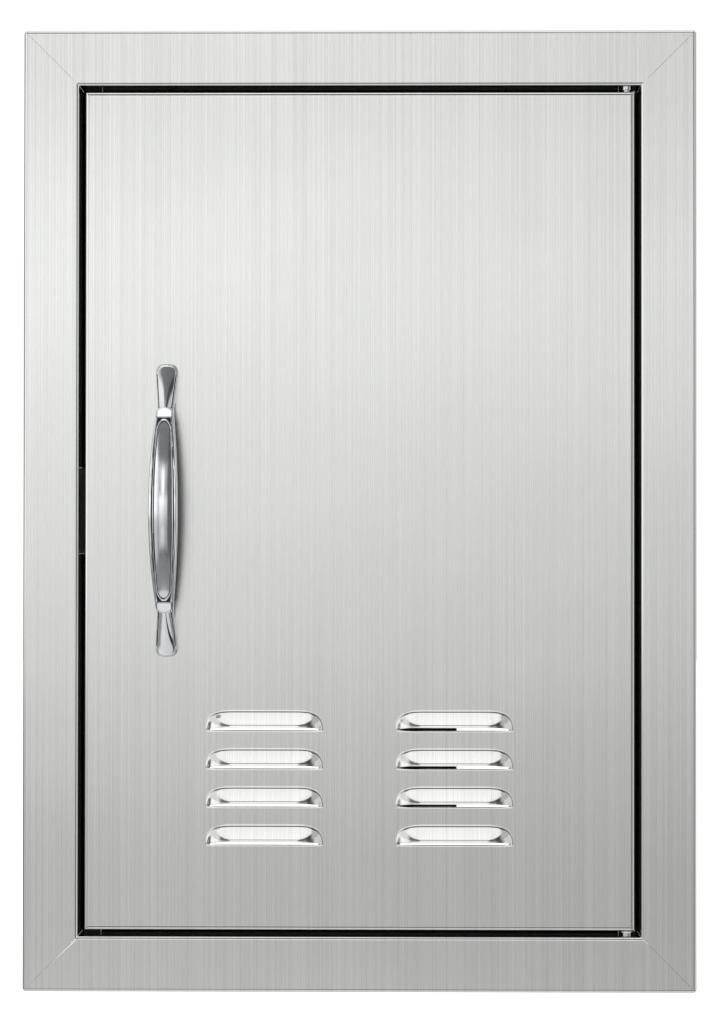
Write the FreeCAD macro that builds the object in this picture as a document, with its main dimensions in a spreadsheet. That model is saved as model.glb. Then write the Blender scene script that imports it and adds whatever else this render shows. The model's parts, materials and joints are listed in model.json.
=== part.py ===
import FreeCAD, Part

import math
import os

import Sketcher

# Access door for a barbecue island: a mitred sheet frame that fills a wall cut-out, with a
# vented double-skin door hung on two pivots. Millimetres. X runs to the right, Y into the wall
# and Z up. The origin is the middle of the cut-out, in the plane of the wall's outer face.

SIZES = {
    # Frame members, folded from sheet
    "frame_width": 355.6,
    "frame_height": 508.0,
    "face_width": 29.5,
    "frame_sheet": 1.0,
    "frame_bend": 2.0,
    "lip_depth": 12.0,
    "jamb_depth": 45.0,
    "mitre_gap": 0.16,
    "fixing_radius": 2.25,
    "fixing_setback": 37.0,
    "fixing_spread_tall": 300.0,
    "fixing_spread_wide": 180.0,
    # Corner plates behind the mitres
    "corner_sheet": 1.0,
    "corner_leg": 52.0,
    "corner_band": 23.0,
    "corner_inset": 1.4,
    # Stops that the door closes against
    "stop_sheet": 0.8,
    "stop_leg": 10.0,
    "stop_setback": 2.0,
    "stop_end_gap": 0.1,
    "catch_side_gap": 0.1,
    "bumper_radius": 4.0,
    "bumper_gap": 0.3,
    "bumper_spread": 300.0,
    # Door skins
    "door_gap": 2.8,
    "door_thickness": 18.0,
    "door_sheet": 0.8,
    "door_bend": 1.8,
    "inner_sheet": 0.8,
    "inner_flange": 8.0,
    "pan_clearance": 0.1,
    "vent_width": 67.0,
    "vent_margin_top": 8.0,
    "vent_margin_foot": 9.0,
    "vent_corner": 4.0,
    "access_radius": 7.0,
    "finger_window_width": 19.0,
    "finger_window_height": 19.0,
    # Louvres pressed out of the outer skin
    "louvre_width": 62.4,
    "louvre_rise": 9.1,
    "louvre_depth": 6.5,
    "louvre_mouth": 2.0,
    "louvre_pitch": 20.08,
    "louvre_spread": 100.2,
    "louvre_foot": 45.4,
    "louvre_rows": 4,
    # Stiffening channel between the skins
    "stiffener_edge": 51.4,
    "stiffener_width": 50.0,
    "stiffener_sheet": 0.8,
    "stiffener_end_gap": 6.0,
    "stiffener_foot": 15.5,
    # Handle
    "handle_inset": 43.9,
    "handle_length": 154.3,
    "handle_stand": 30.0,
    "grip_depth": 7.0,
    "grip_half_width": 7.6,
    "grip_end_half_width": 4.85,
    "bow_reach": 48.0,
    "bow_rise": 10.0,
    "bow_under_rise": 10.5,
    "collar_length": 5.4,
    "collar_half_width": 4.6,
    "collar_stand": 0.5,
    "collar_drop": 4.0,
    "neck_half_width": 4.1,
    "foot_half_width": 5.75,
    "foot_tip_depth": 2.4,
    "foot_hollow": 0.45,
    "heel_reach": 57.0,
    "handle_roundness": 0.6,
    "dome_reach": 45.5,
    "dome_half_width": 4.15,
    "dome_end_half_width": 2.1,
    "dome_rise": 1.0,
    "tap_depth": 6.2,
    # Screws and washers
    "handle_screw_spread": 128.0,
    "handle_screw_radius": 2.0,
    "handle_screw_reach": 5.8,
    "screw_head_radius": 3.6,
    "screw_head_height": 2.6,
    "washer_radius": 4.5,
    "washer_sheet": 0.8,
    "fit_clearance": 0.02,
    # Pivots
    "pivot_inset": 4.2,
    "pivot_setback": 5.0,
    "pin_radius": 2.0,
    "running_clearance": 0.05,
    "pivot_sleeve_radius": 2.8,
    "sleeve_stand": 1.85,
    "shoulder_height": 1.9,
    "thrust_washer": 0.6,
    "pivot_plate_sheet": 1.5,
    "pivot_plate_length": 24.0,
    "pivot_plate_front": 3.8,
    "pivot_plate_back": 14.0,
    "pivot_plate_chamfer": 0.9,
    "rivet_head_radius": 3.0,
    "rivet_head_height": 0.7,
    "lower_pin_reach": 7.2,
    # Hinge brackets in the door
    "bracket_sheet": 1.5,
    "bracket_depth": 8.2,
    "bracket_reach": 8.9,
    "bracket_edge_gap": 0.1,
    "bracket_chamfer": 1.2,
    "bracket_flange": 12.0,
    "upper_bracket_height": 38.5,
    "lower_bracket_height": 24.0,
    "door_bush_length": 6.5,
    # Sprung upper pin
    "pin_reach": 0.5,
    "pin_bend": 3.5,
    "pin_tab": 15.0,
    "tab_gap": 0.2,
    "collar_radius": 3.1,
    "collar_height": 2.0,
    "collar_above_ear": 16.0,
    "spring_wire": 0.6,
    "spring_coil_radius": 2.6,
    "spring_turns": 6.5,
    "spring_seat": 0.05,
    # Magnetic catch
    "catch_length": 46.0,
    "catch_body_length": 30.0,
    "catch_width": 18.0,
    "catch_depth": 15.0,
    "catch_ear": 3.0,
    "catch_edge": 1.0,
    "catch_centre": 10.0,
    "catch_bore_depth": 12.5,
    "catch_bore_slack": 0.1,
    "magnet_length": 24.0,
    "magnet_width": 4.0,
    "magnet_depth": 10.0,
    "pole_sheet": 1.2,
    "pole_length": 26.0,
    "pole_depth": 12.4,
    "catch_screw_radius": 1.75,
    "catch_screw_spread": 38.0,
    "catch_head_radius": 3.2,
    "catch_head_height": 2.0,
    "catch_screw_reach": 5.0,
    "strike_gap": 0.3,
    "strike_sheet": 1.0,
    "strike_length": 42.0,
    "strike_width": 13.0,
    "strike_rivet_radius": 1.6,
    "strike_rivet_spread": 34.0,
    "strike_head_radius": 2.7,
    "strike_head_height": 0.5,
}

TOP, FOOT = 1, -1
RIGHT, LEFT = 1, -1
TOUCH = 0.01  # two places nearer than this are the same

doc = FreeCAD.newDocument("access_door")
sheet = doc.addObject("Spreadsheet::Sheet", "Sizes")
parts = []


class Size:
    """A length in millimetres, kept with the expression that works it out from the sheet."""

    def __init__(self, value, text):
        self.value = float(value)
        self.text = text

    def __add__(self, other):
        other = as_size(other)
        return Size(self.value + other.value, f"({self.text} + {other.text})")

    def __sub__(self, other):
        other = as_size(other)
        return Size(self.value - other.value, f"({self.text} - {other.text})")

    def __mul__(self, other):
        other = as_size(other)
        return Size(self.value * other.value, f"({self.text} * {other.text})")

    def __truediv__(self, other):
        other = as_size(other)
        return Size(self.value / other.value, f"({self.text} / {other.text})")

    def __neg__(self):
        return Size(-self.value, f"(-1 * {self.text})")

    def __radd__(self, other):
        return as_size(other) + self

    def __rsub__(self, other):
        return as_size(other) - self

    def __rmul__(self, other):
        return as_size(other) * self


def as_size(number):
    """Return a Size for a plain number, and a Size unchanged."""
    return number if isinstance(number, Size) else Size(number, repr(float(number)))


def root(size):
    """Square root of a Size."""
    return Size(math.sqrt(size.value), f"sqrt({size.text})")


class Named:
    """The sheet's sizes by name, such as S.frame_width."""

    def __getattr__(self, name):
        return Size(SIZES[name], f"Sizes.{name}")


S = Named()


def fill_sheet():
    """Write every driving dimension to the sheet, with its name as alias."""
    for row, (name, value) in enumerate(SIZES.items(), start=1):
        sheet.set(f"A{row}", name)
        sheet.set(f"B{row}", str(value))
        sheet.setAlias(f"B{row}", name)
    doc.recompute()


# Places that several pieces share

FRONT = -S.lip_depth
JAMB_REAR = S.jamb_depth - S.lip_depth
OPENING_X = S.frame_width / 2 - S.face_width
OPENING_Z = S.frame_height / 2 - S.face_width
DOOR_X = OPENING_X - S.door_gap
DOOR_Z = OPENING_Z - S.door_gap
DOOR_REAR = FRONT + S.door_thickness
SKIN_REAR = FRONT + S.door_sheet
STOP_FRONT = DOOR_REAR + S.stop_setback
FIXING_Y = FRONT + S.fixing_setback
PIVOT_X = DOOR_X - S.pivot_inset
PIVOT_Y = FRONT + S.pivot_setback
PLATE_Z = OPENING_Z + S.frame_sheet
HANDLE_X = S.handle_inset - DOOR_X
LIP_Z = S.louvre_foot + S.louvre_mouth - DOOR_Z
CATCH_X = S.catch_centre - OPENING_X
CATCH_FRONT = DOOR_REAR + S.strike_sheet + S.strike_gap
CATCH_SCREW_Y = CATCH_FRONT + S.catch_edge + S.catch_depth / 2
WALL_INSIDE_X = DOOR_X - S.door_sheet
WALL_INSIDE_Z = DOOR_Z - S.door_sheet


def move(piece, x=0, y=0, z=0):
    """Bind a piece's place to the sheet."""
    for axis, size in (("x", x), ("y", y), ("z", z)):
        piece.setExpression(f"Placement.Base.{axis}", as_size(size).text)
    return piece


def aim(piece, axis):
    """Turn a piece that was made along Z so that it runs along axis."""
    turns = {
        "X": FreeCAD.Rotation(FreeCAD.Vector(0, 1, 0), 90),
        "Y": FreeCAD.Rotation(FreeCAD.Vector(1, 0, 0), -90),
        "Z": FreeCAD.Rotation(),
    }
    piece.Placement = FreeCAD.Placement(FreeCAD.Vector(), turns[axis])
    return piece


def keep(piece, label):
    """Give a finished sub-part its name and put it on the list."""
    piece.Label = label
    parts.append(piece)
    return piece


def box(name, low, high):
    """A block between two corners."""
    block = doc.addObject("Part::Box", name)
    for side, start, end in zip(("Length", "Width", "Height"), low, high):
        block.setExpression(side, (as_size(end) - start).text)
    return move(block, *low)


def rod(name, radius, length, start, axis="Z"):
    """A cylinder that runs along axis from its start."""
    piece = aim(doc.addObject("Part::Cylinder", name), axis)
    piece.setExpression("Radius", as_size(radius).text)
    piece.setExpression("Height", as_size(length).text)
    return move(piece, *start)


def fused(name, pieces):
    """Join pieces into one solid."""
    joined = doc.addObject("Part::MultiFuse", name)
    joined.Shapes = pieces
    return joined


def cut(name, base, tools):
    """Take tools out of base."""
    for number, tool in enumerate(tools):
        result = doc.addObject("Part::Cut", f"{name}_{number}")
        result.Base = base
        result.Tool = tool
        base = result
    return base


def ring(name, outer, inner, length, start, axis="Z"):
    """A round tube that runs along axis from its start."""
    return cut(name, rod(f"{name}_outer", outer, length, start, axis),
               [rod(f"{name}_inner", inner, length, start, axis)])


def group(label, pieces):
    """Keep like pieces together as separate solids of one sub-part."""
    together = doc.addObject("Part::Compound", label)
    together.Links = pieces
    return keep(together, label)


def new_body(name):
    """An empty body."""
    return doc.addObject("PartDesign::Body", name)


def origin_feature(body, role):
    """One of a body's own planes or axes."""
    return next(item for item in body.Origin.OriginFeatures if item.Role == role)


def new_sketch(body, name, plane, height=0, shift=(0, 0)):
    """An empty sketch on one of the body's planes, moved along the plane's normal and in it."""
    drawing = body.newObject("Sketcher::SketchObject", name)
    drawing.AttachmentSupport = [(origin_feature(body, plane), "")]
    drawing.MapMode = "FlatFace"
    for axis, size in (("x", shift[0]), ("y", shift[1]), ("z", height)):
        drawing.setExpression(f"AttachmentOffset.Base.{axis}", as_size(size).text)
    return drawing


def pin_point(drawing, edge, point, place, name):
    """Hold one point of a sketch at its place, measured from the sketch's origin."""
    for axis, size in zip("XY", place):
        size = as_size(size)
        index = drawing.addConstraint(
            Sketcher.Constraint(f"Distance{axis}", -1, 1, edge, point, size.value))
        drawing.renameConstraint(index, f"{name}_{axis}")
        drawing.setExpression(f"Constraints.{name}_{axis}", size.text)


def vector(place):
    """A flat point as a vector."""
    return FreeCAD.Vector(as_size(place[0]).value, as_size(place[1]).value, 0)


def arc_edge(start, end, centre):
    """The shorter arc from start to end, and whether it runs anticlockwise."""
    first = vector(start) - vector(centre)
    last = vector(end) - vector(centre)
    angle = math.atan2(first.y, first.x)
    sweep = (math.atan2(last.y, last.x) - angle) % (2 * math.pi)
    forward = sweep <= math.pi
    if not forward:
        angle, sweep = angle + sweep, 2 * math.pi - sweep
    circle = Part.Circle(vector(centre), FreeCAD.Vector(0, 0, 1), first.Length)
    return Part.ArcOfCircle(circle, angle, angle + sweep), forward


def draw(drawing, corners, tag="p"):
    """Draw a closed outline. A corner is (u, v), or (u, v, centre) where an arc leaves it."""
    count = len(corners)
    starts, ends = [], []
    for number, corner in enumerate(corners):
        following = corners[(number + 1) % count]
        if len(corner) == 2:
            segment = Part.LineSegment(vector(corner), vector(following))
            forward = True
        else:
            segment, forward = arc_edge(corner, following, corner[2])
        edge = drawing.addGeometry(segment, False)
        starts.append((edge, 1 if forward else 2))
        ends.append((edge, 2 if forward else 1))
    for number, corner in enumerate(corners):
        edge, point = starts[number]
        pin_point(drawing, edge, point, corner[:2], f"{tag}{number}")
        drawing.addConstraint(Sketcher.Constraint(
            "Coincident", ends[number - 1][0], ends[number - 1][1], edge, point))
        if len(corner) == 3:
            hold_centre(drawing, edge, corner, corners[(number + 1) % count], f"{tag}{number}c")
    return drawing


def hold_centre(drawing, edge, start, end, name):
    """Hold the coordinate of an arc's centre that its two ends leave free."""
    chord = vector(end) - vector(start)
    across = abs(chord.x) > abs(chord.y)
    axis, size = ("Y", start[2][1]) if across else ("X", start[2][0])
    size = as_size(size)
    index = drawing.addConstraint(
        Sketcher.Constraint(f"Distance{axis}", -1, 1, edge, 3, size.value))
    drawing.renameConstraint(index, name)
    drawing.setExpression(f"Constraints.{name}", size.text)


def draw_circle(drawing, centre, radius, tag):
    """Draw a circle held by its centre and radius."""
    circle = Part.Circle(vector(centre), FreeCAD.Vector(0, 0, 1), as_size(radius).value)
    edge = drawing.addGeometry(circle, False)
    pin_point(drawing, edge, 3, centre, tag)
    index = drawing.addConstraint(Sketcher.Constraint("Radius", edge, as_size(radius).value))
    drawing.renameConstraint(index, f"{tag}_radius")
    drawing.setExpression(f"Constraints.{tag}_radius", as_size(radius).text)
    return drawing


def oblong(low, high):
    """The corners of a rectangle."""
    return [(low[0], low[1]), (high[0], low[1]), (high[0], high[1]), (low[0], high[1])]


def rounded_oblong(low, high, radius):
    """The corners of a rectangle with quarter-round corners."""
    left, foot = as_size(low[0]), as_size(low[1])
    right, top = as_size(high[0]), as_size(high[1])
    return [
        (left + radius, foot),
        (right - radius, foot, (right - radius, foot + radius)),
        (right, foot + radius),
        (right, top - radius, (right - radius, top - radius)),
        (right - radius, top),
        (left + radius, top, (left + radius, top - radius)),
        (left, top - radius),
        (left, foot + radius, (left + radius, foot + radius)),
    ]


def bulge_centre(start, end, bulge):
    """Centre of the arc from start to end that stands bulge proud, to the left of its chord."""
    run = as_size(end[0]) - start[0]
    climb = as_size(end[1]) - start[1]
    chord = root(run * run + climb * climb)
    back = (chord * chord / 4 - bulge * bulge) / (2 * bulge * chord)
    return (
        (as_size(start[0]) + end[0]) / 2 + climb * back,
        (as_size(start[1]) + end[1]) / 2 - run * back,
    )


def folded(path, thickness, bend, side):
    """Outline of a strip folded at right angles. Side 1 lays the metal left of the path."""
    steps = []
    for here, there in zip(path, path[1:]):
        step = vector(there) - vector(here)
        steps.append((round(step.x / step.Length), round(step.y / step.Length)))
    normals = [(-side * step[1], side * step[0]) for step in steps]
    near = [path[0]]
    far = [tuple(path[0][i] + thickness * normals[0][i] for i in (0, 1))]
    for number in range(1, len(path) - 1):
        before, after = steps[number - 1], steps[number]
        inward = side * (before[0] * after[1] - before[1] * after[0]) > 0
        radii = (bend, bend - thickness) if inward else (bend - thickness, bend)
        corner = path[number]
        offset = tuple(corner[i] + thickness * (normals[number - 1][i] + normals[number][i])
                       for i in (0, 1))
        for line, place, radius in ((near, corner, radii[0]), (far, offset, radii[1])):
            first = tuple(place[i] - radius * before[i] for i in (0, 1))
            last = tuple(place[i] + radius * after[i] for i in (0, 1))
            centre = tuple(first[i] + radius * after[i] for i in (0, 1))
            line.append((*first, centre))
            line.append(last)
    near.append(path[-1])
    far.append(tuple(path[-1][i] + thickness * normals[-1][i] for i in (0, 1)))
    back = []
    for number in range(len(far) - 1, -1, -1):
        arrives = number > 0 and len(far[number - 1]) == 3
        back.append((*far[number][:2], far[number - 1][2]) if arrives else far[number][:2])
    return near + back


def pad(body, name, drawing, length, symmetric=False, reverse=False):
    """Raise a sketch along its normal."""
    feature = body.newObject("PartDesign::Pad", name)
    feature.Profile = drawing
    feature.SideType = "Symmetric" if symmetric else "One side"
    feature.Reversed = reverse
    feature.setExpression("Length", as_size(length).text)
    body.Tip = feature
    return feature


def pocket(body, name, drawing, length=None, symmetric=False, reverse=False):
    """Cut a sketch against its normal, or right through both ways where no length is given."""
    feature = body.newObject("PartDesign::Pocket", name)
    feature.Profile = drawing
    if length is None:
        feature.Type = "ThroughAll"
        feature.SideType = "Symmetric"
    else:
        feature.SideType = "Symmetric" if symmetric else "One side"
        feature.Reversed = reverse
        feature.setExpression("Length", as_size(length).text)
    body.Tip = feature
    return feature


def turned(body, kind, name, drawing, side):
    """A quarter turn of a sketch about its own upright axis, added or taken away."""
    feature = body.newObject(f"PartDesign::{kind}", name)
    feature.Profile = drawing
    feature.ReferenceAxis = (drawing, ["V_Axis"])
    feature.Angle = 90
    feature.Reversed = side == LEFT
    body.Tip = feature
    return feature


def edges_where(shape, test):
    """Names of the edges of a shape whose box passes the test."""
    return [f"Edge{number}" for number, edge in enumerate(shape.Edges, start=1)
            if test(edge.BoundBox)]


def rounded(body, name, base, radius, test):
    """Round the edges of a feature that pass the test."""
    doc.recompute()
    feature = body.newObject("PartDesign::Fillet", name)
    feature.Base = (base, edges_where(base.Shape, test))
    feature.setExpression("Radius", as_size(radius).text)
    body.Tip = feature
    return feature


# Frame

def member_section(side, half_width):
    """Outline of a frame member: lip, face and jamb folded from one sheet."""
    outer = side * half_width
    inner = side * (half_width - S.face_width)
    path = [(outer, as_size(0)), (outer, FRONT), (inner, FRONT), (inner, JAMB_REAR)]
    return folded(path, S.frame_sheet, S.frame_bend, -side)


def mitre_wedge(side, end, stile):
    """Triangle of waste beyond the mitre at one end of a member, in front view."""
    half = S.mitre_gap / 2
    spare = S.frame_bend
    inner = (OPENING_X - spare, OPENING_Z - spare)
    outer = (S.frame_width / 2 + spare, S.frame_height / 2 + spare)
    if stile:
        corners = [(inner[0], inner[1] - half), (outer[0], outer[1] - half), (inner[0], outer[1])]
    else:
        corners = [(inner[0] - half, inner[1]), (outer[0] - half, outer[1]), (outer[0], inner[1])]
    return [(side * x, end * z) for x, z in corners]


def frame_stile(label, side):
    """An upright frame member, with its fixing holes through the jamb."""
    body = new_body(label)
    section = new_sketch(body, f"{label}_section", "XY_Plane")
    draw(section, member_section(side, S.frame_width / 2))
    pad(body, f"{label}_fold", section, S.frame_height, symmetric=True)
    waste = new_sketch(body, f"{label}_waste", "XZ_Plane")
    for end in (TOP, FOOT):
        draw(waste, mitre_wedge(side, end, True), f"end{end + 1}_")
    pocket(body, f"{label}_mitres", waste)
    holes = new_sketch(body, f"{label}_holes", "YZ_Plane", side * OPENING_X)
    for end in (TOP, FOOT):
        draw_circle(holes, (FIXING_Y, end * S.fixing_spread_tall / 2), S.fixing_radius,
                    f"hole{end + 1}")
        if side == LEFT:
            draw_circle(holes, (CATCH_SCREW_Y, end * S.catch_screw_spread / 2),
                        S.catch_screw_radius + S.fit_clearance, f"catch{end + 1}")
    pocket(body, f"{label}_fixings", holes, S.frame_sheet * 4, symmetric=True)
    return keep(body, label)


def frame_rail(label, end):
    """A level frame member. At the hinge side its jamb carries a pivot."""
    body = new_body(label)
    section = new_sketch(body, f"{label}_section", "YZ_Plane")
    outline = member_section(end, S.frame_height / 2)
    draw(section, [swap(corner) for corner in outline])
    pad(body, f"{label}_fold", section, S.frame_width, symmetric=True)
    waste = new_sketch(body, f"{label}_waste", "XZ_Plane")
    for side in (LEFT, RIGHT):
        draw(waste, mitre_wedge(side, end, False), f"side{side + 1}_")
    pocket(body, f"{label}_mitres", waste)
    holes = new_sketch(body, f"{label}_holes", "XY_Plane", end * OPENING_Z)
    for side in (LEFT, RIGHT):
        draw_circle(holes, (side * S.fixing_spread_wide / 2, FIXING_Y), S.fixing_radius,
                    f"hole{side + 1}")
    draw_circle(holes, (PIVOT_X, PIVOT_Y), pivot_hole(end), "pivot")
    pocket(body, f"{label}_bores", holes, S.frame_sheet * 4, symmetric=True)
    return keep(body, label)


def swap(corner):
    """Exchange the two coordinates of an outline corner and of its arc's centre."""
    if len(corner) == 2:
        return (corner[1], corner[0])
    return (corner[1], corner[0], (corner[2][1], corner[2][0]))


def pivot_hole(end):
    """Radius of the hole in jamb and plate: a sleeve at the top, the pin's tail at the foot."""
    return (S.pivot_sleeve_radius if end == TOP else S.pin_radius) + S.fit_clearance


def corner_plates():
    """Flat L plates spot-welded behind the mitres, which hold the frame square."""
    plates = []
    rear = FRONT + S.frame_sheet
    for side in (LEFT, RIGHT):
        for end in (TOP, FOOT):
            name = f"corner_plate_{side + 1}{end + 1}"
            body = new_body(name)
            far_x = S.frame_width / 2 - S.frame_sheet - S.corner_inset
            far_z = S.frame_height / 2 - S.frame_sheet - S.corner_inset
            near_x, near_z = far_x - S.corner_leg, far_z - S.corner_leg
            outline = [(far_x, far_z), (near_x, far_z), (near_x, far_z - S.corner_band),
                       (far_x - S.corner_band, far_z - S.corner_band),
                       (far_x - S.corner_band, near_z), (far_x, near_z)]
            drawing = new_sketch(body, f"{name}_outline", "XZ_Plane", -rear)
            draw(drawing, [(side * x, end * z) for x, z in outline])
            pad(body, f"{name}_pad", drawing, S.corner_sheet, reverse=True)
            plates.append(body)
    return group("frame_corner_plates", plates)


def stop_section(edge, direction):
    """Outline of a stop angle: one leg on the jamb, the other across the opening in front."""
    path = [(edge, STOP_FRONT + S.stop_leg), (edge, STOP_FRONT),
            (edge - direction * S.stop_leg, STOP_FRONT)]
    return folded(path, S.stop_sheet, S.stop_sheet * 1.5, -direction)


def upright_stop(name, side, low, high):
    """A stop angle on a side jamb between two heights."""
    body = new_body(name)
    section = new_sketch(body, f"{name}_section", "XY_Plane", low)
    draw(section, stop_section(side * OPENING_X, side))
    pad(body, f"{name}_pad", section, high - low)
    return body


def left_stop_strips():
    """The stops at the handle side, parted for the catch."""
    gap = S.catch_length / 2 + S.catch_side_gap
    upper = upright_stop("left_stop_upper", LEFT, gap, OPENING_Z)
    lower = upright_stop("left_stop_lower", LEFT, -OPENING_Z, -gap)
    return group("left_stop_strips", [upper, lower])


def right_stop_strip():
    """The stop at the hinge side, clear of the door's rear corner as it swings."""
    return keep(upright_stop("right_stop_strip", RIGHT, -OPENING_Z, OPENING_Z),
                "right_stop_strip")


def level_stop(label, end):
    """A stop angle on the top or bottom jamb, between the upright ones."""
    body = new_body(label)
    section = new_sketch(body, f"{label}_section", "YZ_Plane")
    draw(section, [swap(corner) for corner in stop_section(end * OPENING_Z, end)])
    reach = OPENING_X - S.stop_leg - S.stop_end_gap
    pad(body, f"{label}_pad", section, reach * 2, symmetric=True)
    return keep(body, label)


def door_bumpers():
    """Soft round pads on the stops, which the closed door all but touches."""
    thickness = S.stop_setback - S.bumper_gap
    start = STOP_FRONT - thickness
    inset = S.stop_leg - S.bumper_radius - S.stop_sheet
    places = [(inset - OPENING_X, end * S.bumper_spread / 2) for end in (TOP, FOOT)]
    places += [(HANDLE_X, end * (OPENING_Z - inset)) for end in (TOP, FOOT)]
    pads = [rod(f"bumper_{number}", S.bumper_radius, thickness, (x, start, z), "Y")
            for number, (x, z) in enumerate(places)]
    return group("door_bumpers", pads)


# Pivots in the frame

def pivot_plate(label, end):
    """A doubler on the outside of the jamb, its front edge eased to clear the bend."""
    body = new_body(label)
    front = PIVOT_Y - S.pivot_plate_front
    back = PIVOT_Y + S.pivot_plate_back
    near, far = end * PLATE_Z, end * (PLATE_Z + S.pivot_plate_sheet)
    ease = S.pivot_plate_chamfer
    section = new_sketch(body, f"{label}_section", "YZ_Plane", PIVOT_X)
    draw(section, [(front + ease, near), (back, near), (back, far), (front, far),
                   (front, near + end * ease)])
    width = 2 * (OPENING_X - PIVOT_X)
    plate = pad(body, f"{label}_pad", section, width)
    plate.SideType = "Two sides"
    plate.setExpression("Length", (OPENING_X - PIVOT_X).text)
    plate.setExpression("Length2", S.pivot_plate_length.text)
    hole = new_sketch(body, f"{label}_hole", "XY_Plane", near)
    draw_circle(hole, (PIVOT_X, PIVOT_Y), pivot_hole(end), "pivot")
    pocket(body, f"{label}_bore", hole, S.pivot_plate_sheet * 4, symmetric=True)
    return keep(body, label)


def top_pivot_bush():
    """Plain sleeve swaged into the top jamb. Its end stands in the gap above the door."""
    start = OPENING_Z - S.sleeve_stand
    length = S.sleeve_stand + S.frame_sheet + S.pivot_plate_sheet
    sleeve = ring("top_sleeve", S.pivot_sleeve_radius, S.pin_radius + S.running_clearance,
                  length, (PIVOT_X, PIVOT_Y, start))
    return keep(sleeve, "top_pivot_bush")


def bottom_pivot_pin():
    """Shouldered pin riveted through the bottom jamb, which carries the door's weight."""
    shoulder_top = S.shoulder_height - OPENING_Z
    tail_foot = -(PLATE_Z + S.pivot_plate_sheet)
    tip = lower_pin_tip()
    shank = rod("lower_pin_shank", S.pin_radius, tip - tail_foot, (PIVOT_X, PIVOT_Y, tail_foot))
    shoulder = rod("lower_pin_shoulder", S.pivot_sleeve_radius, shoulder_top + OPENING_Z,
                   (PIVOT_X, PIVOT_Y, -OPENING_Z))
    head = rod("lower_pin_head", S.rivet_head_radius, S.rivet_head_height,
               (PIVOT_X, PIVOT_Y, tail_foot - S.rivet_head_height))
    return keep(fused("lower_pin", [shank, shoulder, head]), "bottom_pivot_pin")


def lower_pin_tip():
    """Height of the lower pin's end, inside the door's bush."""
    return S.lower_pin_reach - DOOR_Z


def pivot_washer():
    """Thrust washer between the pin's shoulder and the door."""
    washer = ring("thrust_ring", S.pivot_sleeve_radius, S.pin_radius + S.running_clearance,
                  S.thrust_washer, (PIVOT_X, PIVOT_Y, S.shoulder_height - OPENING_Z))
    return keep(washer, "pivot_washer")


# Catch

def catch_housing():
    """Moulded housing with two screw ears and a bore for the magnet pack."""
    wall = -OPENING_X
    front = CATCH_FRONT + S.catch_edge
    body = new_body("catch_housing")
    outline = new_sketch(body, "catch_outline", "XZ_Plane", -front)
    far, ear = wall + S.catch_width, wall + S.catch_ear
    half, core = S.catch_length / 2, S.catch_body_length / 2
    draw(outline, [(wall, -half), (ear, -half), (ear, -core), (far, -core),
                   (far, core), (ear, core), (ear, half), (wall, half)])
    block = pad(body, "catch_block", outline, S.catch_depth, reverse=True)
    rounded(body, "catch_rounding", block, S.catch_edge,
            lambda b: b.YLength > S.catch_depth.value / 2 and b.XMax > far.value - TOUCH)
    slack = S.catch_bore_slack
    reach_x = S.magnet_width / 2 + S.pole_sheet + slack
    reach_z = S.pole_length / 2 + slack
    bore = new_sketch(body, "catch_bore_outline", "XZ_Plane", -front)
    draw(bore, oblong((CATCH_X - reach_x, -reach_z), (CATCH_X + reach_x, reach_z)))
    pocket(body, "catch_bore", bore, S.catch_bore_depth)
    holes = new_sketch(body, "catch_screw_places", "YZ_Plane", wall)
    for end in (TOP, FOOT):
        draw_circle(holes, (CATCH_SCREW_Y, end * S.catch_screw_spread / 2),
                    S.catch_screw_radius + S.running_clearance, f"screw{end + 1}")
    pocket(body, "catch_screw_holes", holes, S.catch_ear * 3, symmetric=True)
    return keep(body, "catch_housing")


def catch_magnet():
    """Flat block magnet between the pole plates."""
    half_x, half_z = S.magnet_width / 2, S.magnet_length / 2
    front = CATCH_FRONT + S.pole_depth - S.magnet_depth
    magnet = box("magnet_block", (CATCH_X - half_x, front, -half_z),
                 (CATCH_X + half_x, front + S.magnet_depth, half_z))
    return keep(magnet, "catch_magnet")


def catch_pole_plates():
    """Two steel plates that stand just proud of the housing and meet the strike."""
    plates = []
    for side in (LEFT, RIGHT):
        inner = CATCH_X + side * S.magnet_width / 2
        outer = inner + side * S.pole_sheet
        low_x, high_x = (outer, inner) if side == LEFT else (inner, outer)
        plates.append(box(f"pole_plate_{side + 1}", (low_x, CATCH_FRONT, -S.pole_length / 2),
                          (high_x, CATCH_FRONT + S.pole_depth, S.pole_length / 2)))
    return group("catch_pole_plates", plates)


def catch_screws():
    """Two pan-head screws through the housing's ears into the jamb."""
    seat = S.catch_ear - OPENING_X
    screws = []
    for end in (TOP, FOOT):
        z = end * S.catch_screw_spread / 2
        shank = rod(f"catch_shank_{end + 1}", S.catch_screw_radius, S.catch_screw_reach,
                    (seat - S.catch_screw_reach, CATCH_SCREW_Y, z), "X")
        head = rod(f"catch_head_{end + 1}", S.catch_head_radius, S.catch_head_height,
                   (seat, CATCH_SCREW_Y, z), "X")
        screws.append(fused(f"catch_screw_{end + 1}", [shank, head]))
    return group("catch_screws", screws)


def strike_plate():
    """Steel strike on the back of the door, which the magnet holds."""
    body = new_body("strike_plate")
    outline = new_sketch(body, "strike_outline", "XZ_Plane", -DOOR_REAR)
    half_x, half_z = S.strike_width / 2, S.strike_length / 2
    draw(outline, oblong((CATCH_X - half_x, -half_z), (CATCH_X + half_x, half_z)))
    pad(body, "strike_pad", outline, S.strike_sheet, reverse=True)
    holes = new_sketch(body, "strike_holes", "XZ_Plane", -DOOR_REAR)
    rivet_circles(holes)
    pocket(body, "strike_bores", holes, S.strike_sheet)
    return keep(body, "strike_plate")


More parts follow.
